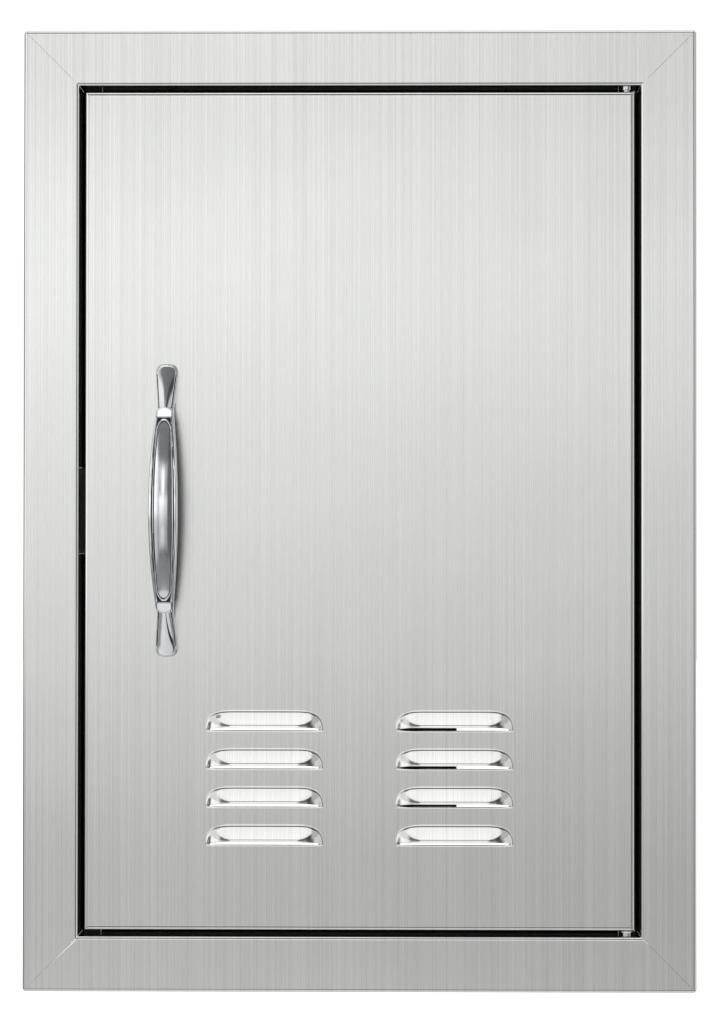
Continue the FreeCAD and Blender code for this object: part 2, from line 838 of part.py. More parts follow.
def rivet_circles(drawing):
    """Draw the two rivet holes that the strike and the inner skin share."""
    for end in (TOP, FOOT):
        draw_circle(drawing, (CATCH_X, end * S.strike_rivet_spread / 2),
                    S.strike_rivet_radius + S.fit_clearance, f"rivet{end + 1}")


def strike_rivets():
    """Two rivets that hold the strike to the inner skin."""
    start = DOOR_REAR - S.inner_sheet
    rivets = []
    for end in (TOP, FOOT):
        z = end * S.strike_rivet_spread / 2
        shank = rod(f"strike_shank_{end + 1}", S.strike_rivet_radius,
                    S.inner_sheet + S.strike_sheet, (CATCH_X, start, z), "Y")
        head = rod(f"strike_head_{end + 1}", S.strike_head_radius, S.strike_head_height,
                   (CATCH_X, DOOR_REAR + S.strike_sheet, z), "Y")
        tail = rod(f"strike_tail_{end + 1}", S.strike_head_radius, S.strike_head_height,
                   (CATCH_X, start - S.strike_head_height, z), "Y")
        rivets.append(fused(f"strike_rivet_{end + 1}", [shank, head, tail]))
    return group("strike_rivets", rivets)


# Door

def louvre_section(drawing, depth, rise):
    """The hood's rounded section, from the lip forward and up to the skin."""
    start, end = (-depth, as_size(0)), (as_size(0), rise)
    centre_u = (rise * rise - depth * depth) / (2 * depth)
    draw(drawing, [(as_size(0), as_size(0)), (*start, (centre_u, as_size(0))), end])


def louvre(body):
    """Features of the lowest louvre of the left column: a hood, its hollow and its mouth."""
    radius = (S.louvre_depth * S.louvre_depth + S.louvre_rise * S.louvre_rise) \
        / (2 * S.louvre_depth)
    inner_depth = S.louvre_depth - S.door_sheet
    inner_radius = radius - S.door_sheet
    behind = radius - S.louvre_depth
    inner_rise = root(inner_radius * inner_radius - behind * behind)
    straight = S.louvre_width - 2 * S.louvre_depth
    middle = -S.louvre_spread / 2
    features = []
    for kind, depth, rise in (("hood", S.louvre_depth, S.louvre_rise),
                              ("hollow", inner_depth, inner_rise)):
        run = new_sketch(body, f"louvre_{kind}_run", "YZ_Plane", middle, (FRONT, LIP_Z))
        louvre_section(run, depth, rise)
        make = pad if kind == "hood" else pocket
        features.append(make(body, f"louvre_{kind}", run, straight, symmetric=True))
        for side in (LEFT, RIGHT):
            name = f"louvre_{kind}_end{side + 1}"
            drawing = new_sketch(body, f"{name}_section", "YZ_Plane",
                                 middle + side * straight / 2, (FRONT, LIP_Z))
            louvre_section(drawing, depth, rise)
            turn = "Revolution" if kind == "hood" else "Groove"
            features.append(turned(body, turn, name, drawing, side))
    mouth = new_sketch(body, "louvre_mouth_outline", "XZ_Plane", -SKIN_REAR)
    half = straight / 2
    end = half + inner_depth
    foot, lip, top = LIP_Z - S.louvre_mouth, LIP_Z, LIP_Z + inner_rise
    draw(mouth, [
        (middle - end, foot), (middle + end, foot),
        (middle + end, lip, (middle + half - behind, lip)), (middle + half, top),
        (middle - half, top, (middle - half + behind, lip)), (middle - end, lip)])
    features.append(pocket(body, "louvre_mouth", mouth, S.door_sheet, reverse=True))
    return features


def door_outer_skin():
    """Front pan of the door, with its edges folded back and two columns of louvres."""
    body = new_body("door_outer_skin")
    outline = new_sketch(body, "skin_outline", "XZ_Plane", -FRONT)
    draw(outline, oblong((-DOOR_X, -DOOR_Z), (DOOR_X, DOOR_Z)))
    block = pad(body, "skin_block", outline, S.door_thickness, reverse=True)
    rounded(body, "skin_bends", block, S.door_bend,
            lambda b: b.YMax < FRONT.value + TOUCH)
    hollow = new_sketch(body, "skin_hollow_outline", "XZ_Plane", -SKIN_REAR)
    draw(hollow, oblong((-WALL_INSIDE_X, -WALL_INSIDE_Z), (WALL_INSIDE_X, WALL_INSIDE_Z)))
    inside = pocket(body, "skin_hollow", hollow, S.door_thickness)
    rounded(body, "skin_inner_bends", inside, S.door_bend - S.door_sheet,
            lambda b: abs(b.YMax - SKIN_REAR.value) < TOUCH and b.YLength < TOUCH)
    holes = new_sketch(body, "skin_screw_outline", "XZ_Plane", -SKIN_REAR)
    for end in (TOP, FOOT):
        draw_circle(holes, (HANDLE_X, end * S.handle_screw_spread / 2),
                    S.handle_screw_radius + S.running_clearance, f"screw{end + 1}")
    pocket(body, "skin_screw_holes", holes, S.door_sheet, reverse=True)
    pivots = new_sketch(body, "skin_pivot_outline", "XY_Plane")
    draw_circle(pivots, (PIVOT_X, PIVOT_Y), S.pivot_sleeve_radius + S.fit_clearance, "pivot")
    pocket(body, "skin_pivot_holes", pivots)
    features = louvre(body)
    grid = body.newObject("PartDesign::LinearPattern", "louvre_grid")
    grid.Originals = features
    grid.Direction = (origin_feature(body, "Z_Axis"), [""])
    grid.Direction2 = (origin_feature(body, "X_Axis"), [""])
    grid.setExpression("Occurrences", S.louvre_rows.text)
    grid.setExpression("Length", (S.louvre_pitch * (S.louvre_rows - 1)).text)
    grid.Occurrences2 = 2
    grid.setExpression("Length2", S.louvre_spread.text)
    body.Tip = grid
    return keep(body, "door_outer_skin")


def door_inner_skin():
    """Back pan of the door, which slips inside the outer one."""
    body = new_body("door_inner_skin")
    half_x = WALL_INSIDE_X - S.pan_clearance
    half_z = WALL_INSIDE_Z - S.pan_clearance
    outline = new_sketch(body, "inner_outline", "XZ_Plane", -DOOR_REAR)
    draw(outline, oblong((-half_x, -half_z), (half_x, half_z)))
    depth = S.inner_flange + S.inner_sheet
    block = pad(body, "inner_block", outline, depth)
    face = DOOR_REAR - S.inner_sheet
    hollow = new_sketch(body, "inner_hollow_outline", "XZ_Plane", -face)
    thin = S.inner_sheet
    draw(hollow, oblong((thin - half_x, thin - half_z), (half_x - thin, half_z - thin)))
    pocket(body, "inner_hollow", hollow, S.inner_flange, reverse=True)
    openings = new_sketch(body, "inner_openings", "XZ_Plane", -face)
    foot = LIP_Z - S.louvre_mouth - S.vent_margin_foot
    top = LIP_Z + S.louvre_pitch * (S.louvre_rows - 1) + S.louvre_rise + S.vent_margin_top
    for side in (LEFT, RIGHT):
        middle = side * S.louvre_spread / 2
        draw(openings, rounded_oblong((middle - S.vent_width / 2, foot),
                                      (middle + S.vent_width / 2, top), S.vent_corner),
             f"vent{side + 1}_")
    for end in (TOP, FOOT):
        draw_circle(openings, (HANDLE_X, end * S.handle_screw_spread / 2), S.access_radius,
                    f"access{end + 1}")
    right = PIVOT_X - S.bracket_reach + S.bracket_sheet
    top = tab_height() + S.pin_radius + S.tab_gap
    draw(openings, rounded_oblong((right - S.finger_window_width, top - S.finger_window_height),
                                  (right, top), S.vent_corner / 2), "finger_")
    rivet_circles(openings)
    pocket(body, "inner_cuts", openings, S.inner_sheet * 4, symmetric=True)
    return keep(body, "door_inner_skin")


def door_stiffener():
    """Upright channel on the inner skin, whose legs reach the outer skin."""
    right = S.stiffener_edge
    left = right - S.stiffener_width
    rear = DOOR_REAR - S.inner_sheet
    body = new_body("door_stiffener")
    foot = LIP_Z + S.louvre_pitch - S.stiffener_foot + S.louvre_rise
    section = new_sketch(body, "stiffener_section", "XY_Plane", foot)
    path = [(right, SKIN_REAR), (right, rear), (left, rear), (left, SKIN_REAR)]
    draw(section, folded(path, S.stiffener_sheet, S.stiffener_sheet * 2, 1))
    pad(body, "stiffener_pad", section, WALL_INSIDE_Z - S.stiffener_end_gap - foot)
    return keep(body, "door_stiffener")


# Hinge fittings in the door

def corner_waste(front, wall, ease, outward, swapped=False):
    """Triangle cut off where a bracket would meet the bend between skin and wall."""
    corners = [(front - ease, wall + outward * ease), (front - ease, wall - outward * 2 * ease),
               (front + 2 * ease, wall + outward * ease)]
    return [swap(corner) for corner in corners] if swapped else corners


def bracket(label, end, height, ears):
    """A folded bracket: a web beside the pin, a flange on the outer skin and ears."""
    body = new_body(label)
    wall = end * WALL_INSIDE_Z
    far = wall - end * height
    web_left = PIVOT_X - S.bracket_reach
    web_right = web_left + S.bracket_sheet
    tip = WALL_INSIDE_X - S.bracket_edge_gap
    thick = end * S.bracket_sheet
    outline = [(web_left, wall), (tip, wall), (tip, wall - thick), (web_right, wall - thick)]
    if ears == 2:
        outline += [(web_right, far + thick), (tip, far + thick), (tip, far), (web_left, far)]
    else:
        outline += [(web_right, far), (web_left, far)]
    profile = new_sketch(body, f"{label}_profile", "XZ_Plane", -SKIN_REAR)
    draw(profile, outline)
    pad(body, f"{label}_fold", profile, S.bracket_depth, reverse=True)
    flange = new_sketch(body, f"{label}_flange_outline", "XZ_Plane", -SKIN_REAR)
    low, high = (far, wall - thick) if end == TOP else (wall - thick, far)
    draw(flange, oblong((web_left - S.bracket_flange, low), (web_left + S.bracket_sheet, high)))
    pad(body, f"{label}_flange", flange, S.bracket_sheet, reverse=True)
    side_ease = new_sketch(body, f"{label}_side_ease_outline", "XY_Plane")
    draw(side_ease, corner_waste(SKIN_REAR, tip, S.bracket_chamfer, 1, swapped=True))
    pocket(body, f"{label}_side_ease", side_ease)
    end_ease = new_sketch(body, f"{label}_end_ease_outline", "YZ_Plane")
    draw(end_ease, corner_waste(SKIN_REAR, wall, S.bracket_chamfer, end))
    pocket(body, f"{label}_end_ease", end_ease)
    hole = new_sketch(body, f"{label}_hole_outline", "XY_Plane")
    radius = S.pin_radius + S.running_clearance
    if ears == 1:
        radius = S.pivot_sleeve_radius + S.fit_clearance
    draw_circle(hole, (PIVOT_X, PIVOT_Y), radius, "pivot")
    pocket(body, f"{label}_hole", hole)
    return keep(body, label)


def bottom_door_bush():
    """Sleeve in the door's foot that turns on the lower pin."""
    bush = ring("door_sleeve", S.pivot_sleeve_radius, S.pin_radius + S.running_clearance,
                S.door_bush_length, (PIVOT_X, PIVOT_Y, -DOOR_Z))
    return keep(bush, "bottom_door_bush")


# Sprung pin

def lower_ear():
    """Height of the top face of the upper bracket's lower ear."""
    return WALL_INSIDE_Z - S.upper_bracket_height + S.bracket_sheet


def tab_height():
    """Height of the middle of the pin's finger tab, whose bend stops against the ear."""
    return lower_ear() - S.bracket_sheet - S.tab_gap - S.pin_bend


def hinge_pin():
    """Upper pivot pin, bent at its foot into a finger tab that draws it down."""
    body = new_body("hinge_pin")
    tip = PLATE_Z + S.pivot_plate_sheet - S.pin_reach
    foot = tab_height()
    profile = new_sketch(body, "pin_round", "XY_Plane", tip)
    draw_circle(profile, (PIVOT_X, PIVOT_Y), S.pin_radius, "pin")
    path = new_sketch(body, "pin_path", "XZ_Plane", -PIVOT_Y)
    bend = S.pin_bend
    line = [(PIVOT_X, tip), (PIVOT_X, foot + bend), (PIVOT_X - bend, foot),
            (PIVOT_X - S.pin_tab, foot)]
    upright = path.addGeometry(Part.LineSegment(vector(line[0]), vector(line[1])), False)
    elbow, forward = arc_edge(line[1], line[2], (PIVOT_X - bend, foot + bend))
    turn = path.addGeometry(elbow, False)
    tab = path.addGeometry(Part.LineSegment(vector(line[2]), vector(line[3])), False)
    near, far = (1, 2) if forward else (2, 1)
    pin_point(path, upright, 1, line[0], "tip")
    pin_point(path, upright, 2, line[1], "bend_top")
    pin_point(path, tab, 1, line[2], "bend_foot")
    pin_point(path, tab, 2, line[3], "tab_end")
    path.addConstraint(Sketcher.Constraint("Coincident", upright, 2, turn, near))
    path.addConstraint(Sketcher.Constraint("Coincident", turn, far, tab, 1))
    hold_centre(path, turn, (*line[1], (PIVOT_X - bend, foot + bend)), line[2], "bend_centre")
    pipe = body.newObject("PartDesign::AdditivePipe", "pin_sweep")
    pipe.Profile = profile
    pipe.Spine = (path, [])
    body.Tip = pipe
    return keep(body, "hinge_pin")


def pin_collar():
    """Ring fixed on the pin, which the spring pushes up."""
    collar = ring("collar_ring", S.collar_radius, S.pin_radius + S.fit_clearance,
                  S.collar_height, (PIVOT_X, PIVOT_Y, lower_ear() + S.collar_above_ear))
    return keep(collar, "pin_collar")


def pin_spring():
    """Compression spring between the lower ear and the collar."""
    body = new_body("pin_spring")
    start = lower_ear() + S.spring_wire / 2 + S.spring_seat
    reach = S.collar_above_ear - S.spring_wire - 2 * S.spring_seat
    wire = new_sketch(body, "spring_wire_round", "XZ_Plane")
    draw_circle(wire, (S.spring_coil_radius, as_size(0)), S.spring_wire / 2, "wire")
    coil = body.newObject("PartDesign::AdditiveHelix", "spring_coil")
    coil.Profile = wire
    coil.ReferenceAxis = (wire, ["V_Axis"])
    coil.Mode = "height-turns-growth"
    coil.setExpression("Height", reach.text)
    coil.setExpression("Turns", S.spring_turns.text)
    body.Tip = coil
    move(body, PIVOT_X, PIVOT_Y, start)
    return keep(body, "pin_spring")


# Handle

def loft(name, stations, ruled):
    """A solid through rounded sections. A station is (height, half width, low, high stand)."""
    body = new_body(name)
    drawings = []
    for number, (height, half, low, high) in enumerate(stations):
        drawing = new_sketch(body, f"{name}_section_{number}", "XY_Plane", height)
        deep = (high - low) / 2
        radius = S.handle_roundness * (half if half.value < deep.value else deep)
        draw(drawing, rounded_oblong((HANDLE_X - half, FRONT - high),
                                     (HANDLE_X + half, FRONT - low), radius))
        drawings.append(drawing)
    feature = body.newObject("PartDesign::AdditiveLoft", f"{name}_loft")
    feature.Profile = drawings[0]
    feature.Sections = drawings[1:]
    feature.Ruled = ruled
    body.Tip = feature
    return body


def under_stand():
    """Stand of the grip's underside at its two ends."""
    return S.handle_stand - S.grip_depth - S.bow_under_rise


def handle_bow():
    """The grip: a bow that swells to the middle of its length."""
    stations = []
    steps = 4
    for step in range(-steps, steps + 1):
        share = as_size(step) / steps
        fall = share * share
        full = 1 - fall
        stations.append((
            S.bow_reach * share,
            S.grip_end_half_width + (S.grip_half_width - S.grip_end_half_width) * full,
            under_stand() + S.bow_under_rise * full,
            S.handle_stand - S.bow_rise * fall,
        ))
    return loft("handle_bow", stations, False)


def handle_collar(end):
    """The facetted collar between the bow and a foot."""
    outer = S.bow_reach + S.collar_length
    high = S.handle_stand - S.bow_rise + S.collar_stand
    slope = under_stand() / (S.heel_reach - S.bow_reach)
    stations = [
        (end * S.bow_reach, S.collar_half_width, under_stand(), high),
        (end * outer, S.collar_half_width, under_stand() - slope * S.collar_length,
         high - S.collar_drop),
    ]
    return loft(f"handle_collar_{end + 1}", stations, True)


def handle_foot(end):
    """A foot that flares from the collar to a round end, flat on the door."""
    neck = S.bow_reach + S.collar_length
    tip = S.handle_length / 2
    flare = tip - S.foot_half_width
    neck_high = S.handle_stand - S.bow_rise - S.collar_drop
    slope = under_stand() / (S.heel_reach - S.bow_reach)
    stations = []
    for height in (neck, S.heel_reach, *[S.heel_reach + (flare - S.heel_reach) * share
                                         for share in (0.3, 0.6, 1.0)],
                   *[flare + S.foot_half_width * share for share in (0.5, 0.8, 0.95, 0.995)]):
        along = (height - neck) / (tip - neck)
        high = S.foot_tip_depth + (neck_high - S.foot_tip_depth) * (1 - along) \
            * (1 - S.foot_hollow * along)
        if height.value <= flare.value:
            half = S.neck_half_width + (S.foot_half_width - S.neck_half_width) \
                * (height - neck) / (flare - neck)
        else:
            beyond = height - flare
            half = root(S.foot_half_width * S.foot_half_width - beyond * beyond)
        lifted = height.value < S.heel_reach.value
        low = slope * (S.heel_reach - height) if lifted else as_size(0)
        stations.append((end * height, half, low, high))
    return loft(f"handle_foot_{end + 1}", stations, True)


def shift_corner(corner, amount):
    """Move an outline corner, and its arc's centre, along the first axis."""
    if len(corner) == 2:
        return (corner[0] + amount, corner[1])
    return (corner[0] + amount, corner[1], (corner[2][0] + amount, corner[2][1]))


def handle():
    """Cast bow handle with a raised dome along the grip and a tapped hole in each foot."""
    pieces = [handle_bow(), handle_dome()]
    taps = []
    for end in (TOP, FOOT):
        pieces += [handle_collar(end), handle_foot(end)]
        taps.append(rod(f"handle_tap_{end + 1}", S.handle_screw_radius + S.fit_clearance,
                        S.tap_depth, (HANDLE_X, FRONT - S.tap_depth,
                                      end * S.handle_screw_spread / 2), "Y"))
    return keep(cut("handle_tapped", fused("handle_casting", pieces), taps), "handle")


def handle_dome():
    """Low dome along the front of the grip."""
    body = new_body("handle_dome")
    side = new_sketch(body, "dome_side", "YZ_Plane", HANDLE_X)
    reach = S.dome_reach
    radius = (S.bow_reach * S.bow_reach + S.bow_rise * S.bow_rise) / (2 * S.bow_rise)
    drop = radius - root(radius * radius - reach * reach)
    end = S.handle_stand - drop
    sunk = end - S.grip_depth / 2
    low = (FRONT - end, -reach)
    high = (FRONT - end, reach)
    crown = bulge_centre(low, high, drop + S.dome_rise)
    draw(side, [(*low, crown), high, (FRONT - sunk, reach), (FRONT - sunk, -reach)])
    width = 2 * S.grip_half_width
    pad(body, "dome_block", side, width, symmetric=True)
    waste = new_sketch(body, "dome_waste", "XZ_Plane")
    half, tip = S.dome_half_width, S.dome_end_half_width
    swell = half - tip
    right_low, right_high = (tip, -reach), (tip, reach)
    left_high, left_low = (-tip, reach), (-tip, -reach)
    outline = [
        (*left_high, bulge_centre(left_high, left_low, -swell)),
        left_low,
        (*right_low, bulge_centre(right_low, right_high, -swell)),
        right_high,
    ]
    draw(waste, [shift_corner(corner, HANDLE_X) for corner in outline])
    draw(waste, oblong((HANDLE_X - width, -2 * reach), (HANDLE_X + width, 2 * reach)), "rim")
    pocket(body, "dome_trim", waste)
    return body


def handle_screws():
    """Two machine screws through the outer skin into the handle's feet."""
    seat = SKIN_REAR + S.washer_sheet
    screws = []
    for end in (TOP, FOOT):
        z = end * S.handle_screw_spread / 2
        length = seat - FRONT + S.handle_screw_reach
        shank = rod(f"handle_shank_{end + 1}", S.handle_screw_radius, length,
                    (HANDLE_X, seat - length, z), "Y")
        head = rod(f"handle_head_{end + 1}", S.screw_head_radius, S.screw_head_height,
                   (HANDLE_X, seat, z), "Y")
        screws.append(fused(f"handle_screw_{end + 1}", [shank, head]))
    return group("handle_screws", screws)


def handle_washers():
    """Two flat washers under the handle screws' heads."""
    washers = [ring(f"handle_washer_{end + 1}", S.washer_radius,
                    S.handle_screw_radius + S.running_clearance, S.washer_sheet,
                    (HANDLE_X, SKIN_REAR, end * S.handle_screw_spread / 2), "Y")
               for end in (TOP, FOOT)]
    return group("handle_washers", washers)


def build():
    """Make every sub-part."""
    frame_stile("frame_left_stile", LEFT)
    frame_stile("frame_right_stile", RIGHT)
    frame_rail("frame_top_rail", TOP)
    frame_rail("frame_bottom_rail", FOOT)
    corner_plates()
    left_stop_strips()
    right_stop_strip()
    level_stop("top_stop_strip", TOP)
    level_stop("bottom_stop_strip", FOOT)
    door_bumpers()
    pivot_plate("top_pivot_plate", TOP)
    pivot_plate("bottom_pivot_plate", FOOT)
    top_pivot_bush()
    bottom_pivot_pin()
    pivot_washer()
    catch_housing()
    catch_magnet()
    catch_pole_plates()
    catch_screws()
    strike_plate()
    strike_rivets()
    door_outer_skin()
    door_inner_skin()
    door_stiffener()
    bracket("top_hinge_bracket", TOP, S.upper_bracket_height, 2)
    bracket("bottom_hinge_bracket", FOOT, S.lower_bracket_height, 1)
    bottom_door_bush()
    hinge_pin()
    pin_collar()
    pin_spring()
    handle()
    handle_screws()
    handle_washers()


def check_and_write():
    """Stop on any failed object or unsound shape, then write one file for each sub-part."""
    doc.recompute()
    failed = [item.Name for item in doc.Objects
              if {"Invalid", "Error"} & set(item.State)]
    if failed:
        raise RuntimeError(f"failed objects: {failed}")
    for piece in parts:
        if piece.Shape.isNull() or not piece.Shape.isValid() or not piece.Shape.Solids:
            raise RuntimeError(f"unsound shape: {piece.Label}")
    os.makedirs("parts", exist_ok=True)
    for piece in parts:
        piece.Shape.exportStep(os.path.join("parts", f"{piece.Label}.step"))
        box_of = piece.Shape.BoundBox
        print(f"{piece.Label:24s} solids {len(piece.Shape.Solids)}  volume {piece.Shape.Volume:10.1f}"
              f"  x {box_of.XMin:8.2f} {box_of.XMax:8.2f}  y {box_of.YMin:7.2f} {box_of.YMax:7.2f}"
              f"  z {box_of.ZMin:8.2f} {box_of.ZMax:8.2f}")


fill_sheet()
build()
check_and_write()
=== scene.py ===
"""Looks of a louvred access door for a barbecue island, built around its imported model."""

import json
import math

import bmesh
import bpy
from bpy.props import FloatProperty, FloatVectorProperty, IntProperty, PointerProperty
from mathutils import Matrix, Vector

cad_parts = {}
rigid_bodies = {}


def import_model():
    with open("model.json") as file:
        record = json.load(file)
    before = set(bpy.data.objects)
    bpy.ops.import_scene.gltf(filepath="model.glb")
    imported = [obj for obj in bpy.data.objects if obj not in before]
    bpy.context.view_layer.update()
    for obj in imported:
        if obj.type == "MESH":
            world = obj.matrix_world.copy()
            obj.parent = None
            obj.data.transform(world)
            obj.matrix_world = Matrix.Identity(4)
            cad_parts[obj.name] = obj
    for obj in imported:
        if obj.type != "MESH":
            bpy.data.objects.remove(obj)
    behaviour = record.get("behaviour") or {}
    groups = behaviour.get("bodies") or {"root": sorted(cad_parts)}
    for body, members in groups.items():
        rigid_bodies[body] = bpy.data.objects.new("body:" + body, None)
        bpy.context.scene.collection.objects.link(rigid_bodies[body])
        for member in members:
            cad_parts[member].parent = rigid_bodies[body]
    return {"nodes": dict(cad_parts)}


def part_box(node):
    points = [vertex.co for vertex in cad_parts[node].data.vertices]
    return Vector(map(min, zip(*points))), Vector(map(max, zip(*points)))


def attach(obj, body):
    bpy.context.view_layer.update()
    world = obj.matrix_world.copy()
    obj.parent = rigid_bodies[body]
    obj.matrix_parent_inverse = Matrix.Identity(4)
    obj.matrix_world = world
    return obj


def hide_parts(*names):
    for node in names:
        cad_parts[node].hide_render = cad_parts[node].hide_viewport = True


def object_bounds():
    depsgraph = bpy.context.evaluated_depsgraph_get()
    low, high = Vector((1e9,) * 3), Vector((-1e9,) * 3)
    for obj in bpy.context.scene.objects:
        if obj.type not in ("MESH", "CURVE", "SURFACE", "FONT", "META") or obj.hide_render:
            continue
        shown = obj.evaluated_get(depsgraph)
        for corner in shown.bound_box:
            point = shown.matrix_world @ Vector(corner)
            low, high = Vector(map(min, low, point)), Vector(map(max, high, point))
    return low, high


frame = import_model()
CAD_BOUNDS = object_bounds()

bl_info = {
    "name": "Island access door",
    "version": (1, 0, 0),
    "blender": (4, 5, 0),
    "location": "View3D > Sidebar > Access door",
    "description": "Finishes the sheet metal, louvres, handle and fittings of an access door",
    "category": "Object",
}

MM = 0.001

# vertices this close are one vertex, and faces this level are one face
MERGE_DISTANCE = 0.001 * MM
LEVEL_ANGLE = math.radians(0.3)
# an edge that turns more than this was cut, not bent
CUT_ANGLE = math.radians(40)
# how near its mitre's line a cut edge lies, the mitre's length over the flat face, and how far
# from the frame's corner its filed edge starts
MITRE_REACH = 0.3 * MM
MITRE_LENGTH = 42 * MM
MITRE_TIP = 8 * MM
# where a frame corner is cut for its arc, in shares of the radius from the edge
CORNER_CUTS = (1.0, 0.7, 0.4, 0.2)
# an edge shorter than this, where a cut passes close to a corner, would leave no room for rounding
SLIVER = 0.05 * MM


def linear(colour_hex):
    """Turns an sRGB hex colour into linear red, green and blue"""
    levels = [int(colour_hex[i:i + 2], 16) / 255 for i in (0, 2, 4)]
    return tuple(c / 12.92 if c <= 0.04045 else ((c + 0.055) / 1.055) ** 2.4 for c in levels)


def a_length(name, description, default):
    """Property that holds a length"""
    return FloatProperty(name=name, description=description, default=default, unit="LENGTH")


def an_angle(name, description, degrees):
    """Property that holds an angle"""
    return FloatProperty(
        name=name, description=description, default=math.radians(degrees), unit="ROTATION",
    )


def a_colour(name, description, colour_hex):
    """Property that holds a colour, given in sRGB"""
    return FloatVectorProperty(
        name=name, description=description, default=linear(colour_hex), subtype="COLOR",
    )


class DoorSizes(bpy.types.PropertyGroup):
    """Sizes that the finish of the door depends on"""

    edge_rounding: a_length(
        "Edge rounding", "Radius that deburring leaves on a cut sheet edge", 0.12 * MM,
    )
    frame_corner: a_length(
        "Frame corner", "Radius of the frame's outer corners, seen from the front", 1.8 * MM,
    )
    mitre_edge: a_length(
        "Mitre edge", "Width of the filed edge of the lower left mitre, at its inner end", 1.4 * MM,
    )
    mitre_drop: a_length(
        "Mitre drop", "How much the filed edge has lost at its inner end", 0.34 * MM,
    )
    small_rounding: a_length(
        "Fitting rounding", "Radius on the edges of brackets, housings and washers", 0.2 * MM,
    )
    rounding_steps: IntProperty(
        name="Rounding steps", description="Segments across each rounded edge",
        default=2, min=1, max=6,
    )
    grain_width: a_length(
        "Grain width",
        "Width of one brushed streak, drawn coarser than the real 0.1 mm so that it shows",
        0.5 * MM,
    )
    grain_length: a_length(
        "Grain length", "Length of one belt streak, which runs over most of a sheet", 500 * MM,
    )
    scratch_length: a_length(
        "Scratch length", "Length of one short scratch among the streaks", 9 * MM,
    )
    wave_length: a_length(
        "Wave length",
        "Distance between the faint swells that rolling leaves in a flat sheet",
        110 * MM,
    )


class SkinSizes(bpy.types.PropertyGroup):
    """Sizes of the door's front pan and of the louvres pressed in it"""

    sheet: a_length("Sheet", "Thickness of the front sheet", 0.8 * MM)
    bend: a_length("Edge bend", "Outer radius of the bends along the pan's edges", 2.6 * MM)
    width: a_length("Louvre width", "Width of one louvre at its mouth", 62.4 * MM)
    end: a_length("Louvre end", "Length over which each end of a hood falls away", 14.7 * MM)
    rise: a_length(
        "Louvre rise", "Height of a hood from its lip to where it leaves the sheet", 9.1 * MM,
    )
    depth: a_length("Louvre depth", "How far a hood's lip stands off the sheet", 5.7 * MM)
    mouth: a_length("Louvre mouth", "Height of the slot below a lip", 1.65 * MM)
    pitch: a_length("Louvre pitch", "Distance from one row of louvres to the next", 20.08 * MM)
    spread: a_length("Louvre spread", "Distance between the two columns of louvres", 100.2 * MM)
    foot: a_length(
        "Louvre foot", "From the door's lower edge to the foot of the lowest mouth", 45.55 * MM,
    )
    rows: IntProperty(
        name="Louvre rows", description="Number of louvres in a column", default=4, min=1,
    )
    screw_spread: a_length(
        "Handle screw spread", "Distance between the handle's two screws", 128 * MM,
    )


class HandleSizes(bpy.types.PropertyGroup):
    """Sizes of the cast bow handle"""

    stand: a_length("Stand", "How far the middle of the grip stands off the door", 30 * MM)
    grip_depth: a_length("Grip depth", "Depth of the grip from front to back", 7 * MM)
    half_width: a_length("Half width", "Half the width of the grip at its middle", 7.6 * MM)
    bow_reach: a_length("Bow reach", "From the middle of the grip to a collar", 48 * MM)
    collar: a_length(
        "Collar length", "Length of the facetted collar between the bow and a foot", 5.4 * MM,
    )
    dome_rise: a_length("Dome rise", "Height of the satin dome along the grip", 0.8 * MM)


class DoorColours(bpy.types.PropertyGroup):
    """Colours of the door's finishes"""

    stainless: a_colour("Stainless steel", "Reflection colour of the brushed sheets", "C8C9C7")
    chrome: a_colour("Chrome", "Reflection colour of the plated handle", "D6D8DA")
    zinc: a_colour("Zinc plating", "Reflection colour of the plated brackets", "B6BABE")
    steel: a_colour("Bright steel", "Reflection colour of pins, screws and rivets", "C4C6C8")
    spring: a_colour("Spring wire", "Reflection colour of the oiled spring wire", "8C8E92")
    nylon: a_colour("Nylon", "Colour of the moulded washer and bush", "E9E7DE")
    plastic: a_colour("Black plastic", "Colour of the moulded catch housing", "1B1B1D")
    ferrite: a_colour("Ferrite", "Colour of the pressed magnet", "34312F")
    rubber: a_colour("Rubber", "Colour of the soft door bumpers", "3A3938")
    # painted shade: dark tint for the handle's channels and for the stiffener between the skins, in
    # the channels partly also metal that plating hardly reaches
    recess: a_colour("Recess", "Colour of metal that the plating hardly reaches", "3C3E40")
    coating: a_colour("Black coating", "Colour of the powder coat on the stop strips", "17181A")
    floor: a_colour("Floor", "Colour of the pale studio floor", "F4F4F2")


def put(tree, kind, inputs, stops=(), **settings):
    """Adds one shader node with its settings, ramp stops and inputs: values, sockets or nodes"""
    node = tree.nodes.new("ShaderNode" + kind)
    for name, value in settings.items():
        setattr(node, name, value)
    if stops:
        ramp = node.color_ramp
        while len(ramp.elements) < len(stops):
            ramp.elements.new(1.0)
        for element, (place, level) in zip(ramp.elements, stops):
            element.position = place
            element.color = (level, level, level, 1.0)
    for name, value in inputs.items():
        if isinstance(value, bpy.types.Node):
            value = value.outputs[0]
        if isinstance(value, bpy.types.NodeSocket):
            tree.links.new(value, node.inputs[name])
        else:
            node.inputs[name].default_value = value
    return node


def new_material(name):
    """Starts a material and returns it with its empty tree"""
    material = bpy.data.materials.new(name)
    material.use_nodes = True
    material.node_tree.nodes.clear()
    return material, material.node_tree


# noise seldom leaves these ranges
CLOUD_RANGE = {"From Min": 0.3, "From Max": 0.7}
STREAK_RANGE = {"From Min": 0.25, "From Max": 0.75}
# how much the belt's streaks, its short scratches and its broad bands differ in brightness
FINE_CONTRAST = 0.085
SCRATCH_CONTRAST = 0.028
BROAD_CONTRAST = 0.022
# number of streaks across a broad band
BROAD_STREAKS = 8
# size of the patches in a sheet that differ in gloss, and their roughness
PATCH_SIZE = 60 * MM
SHEET_GLOSS = {"To Min": 0.17, "To Max": 0.195}
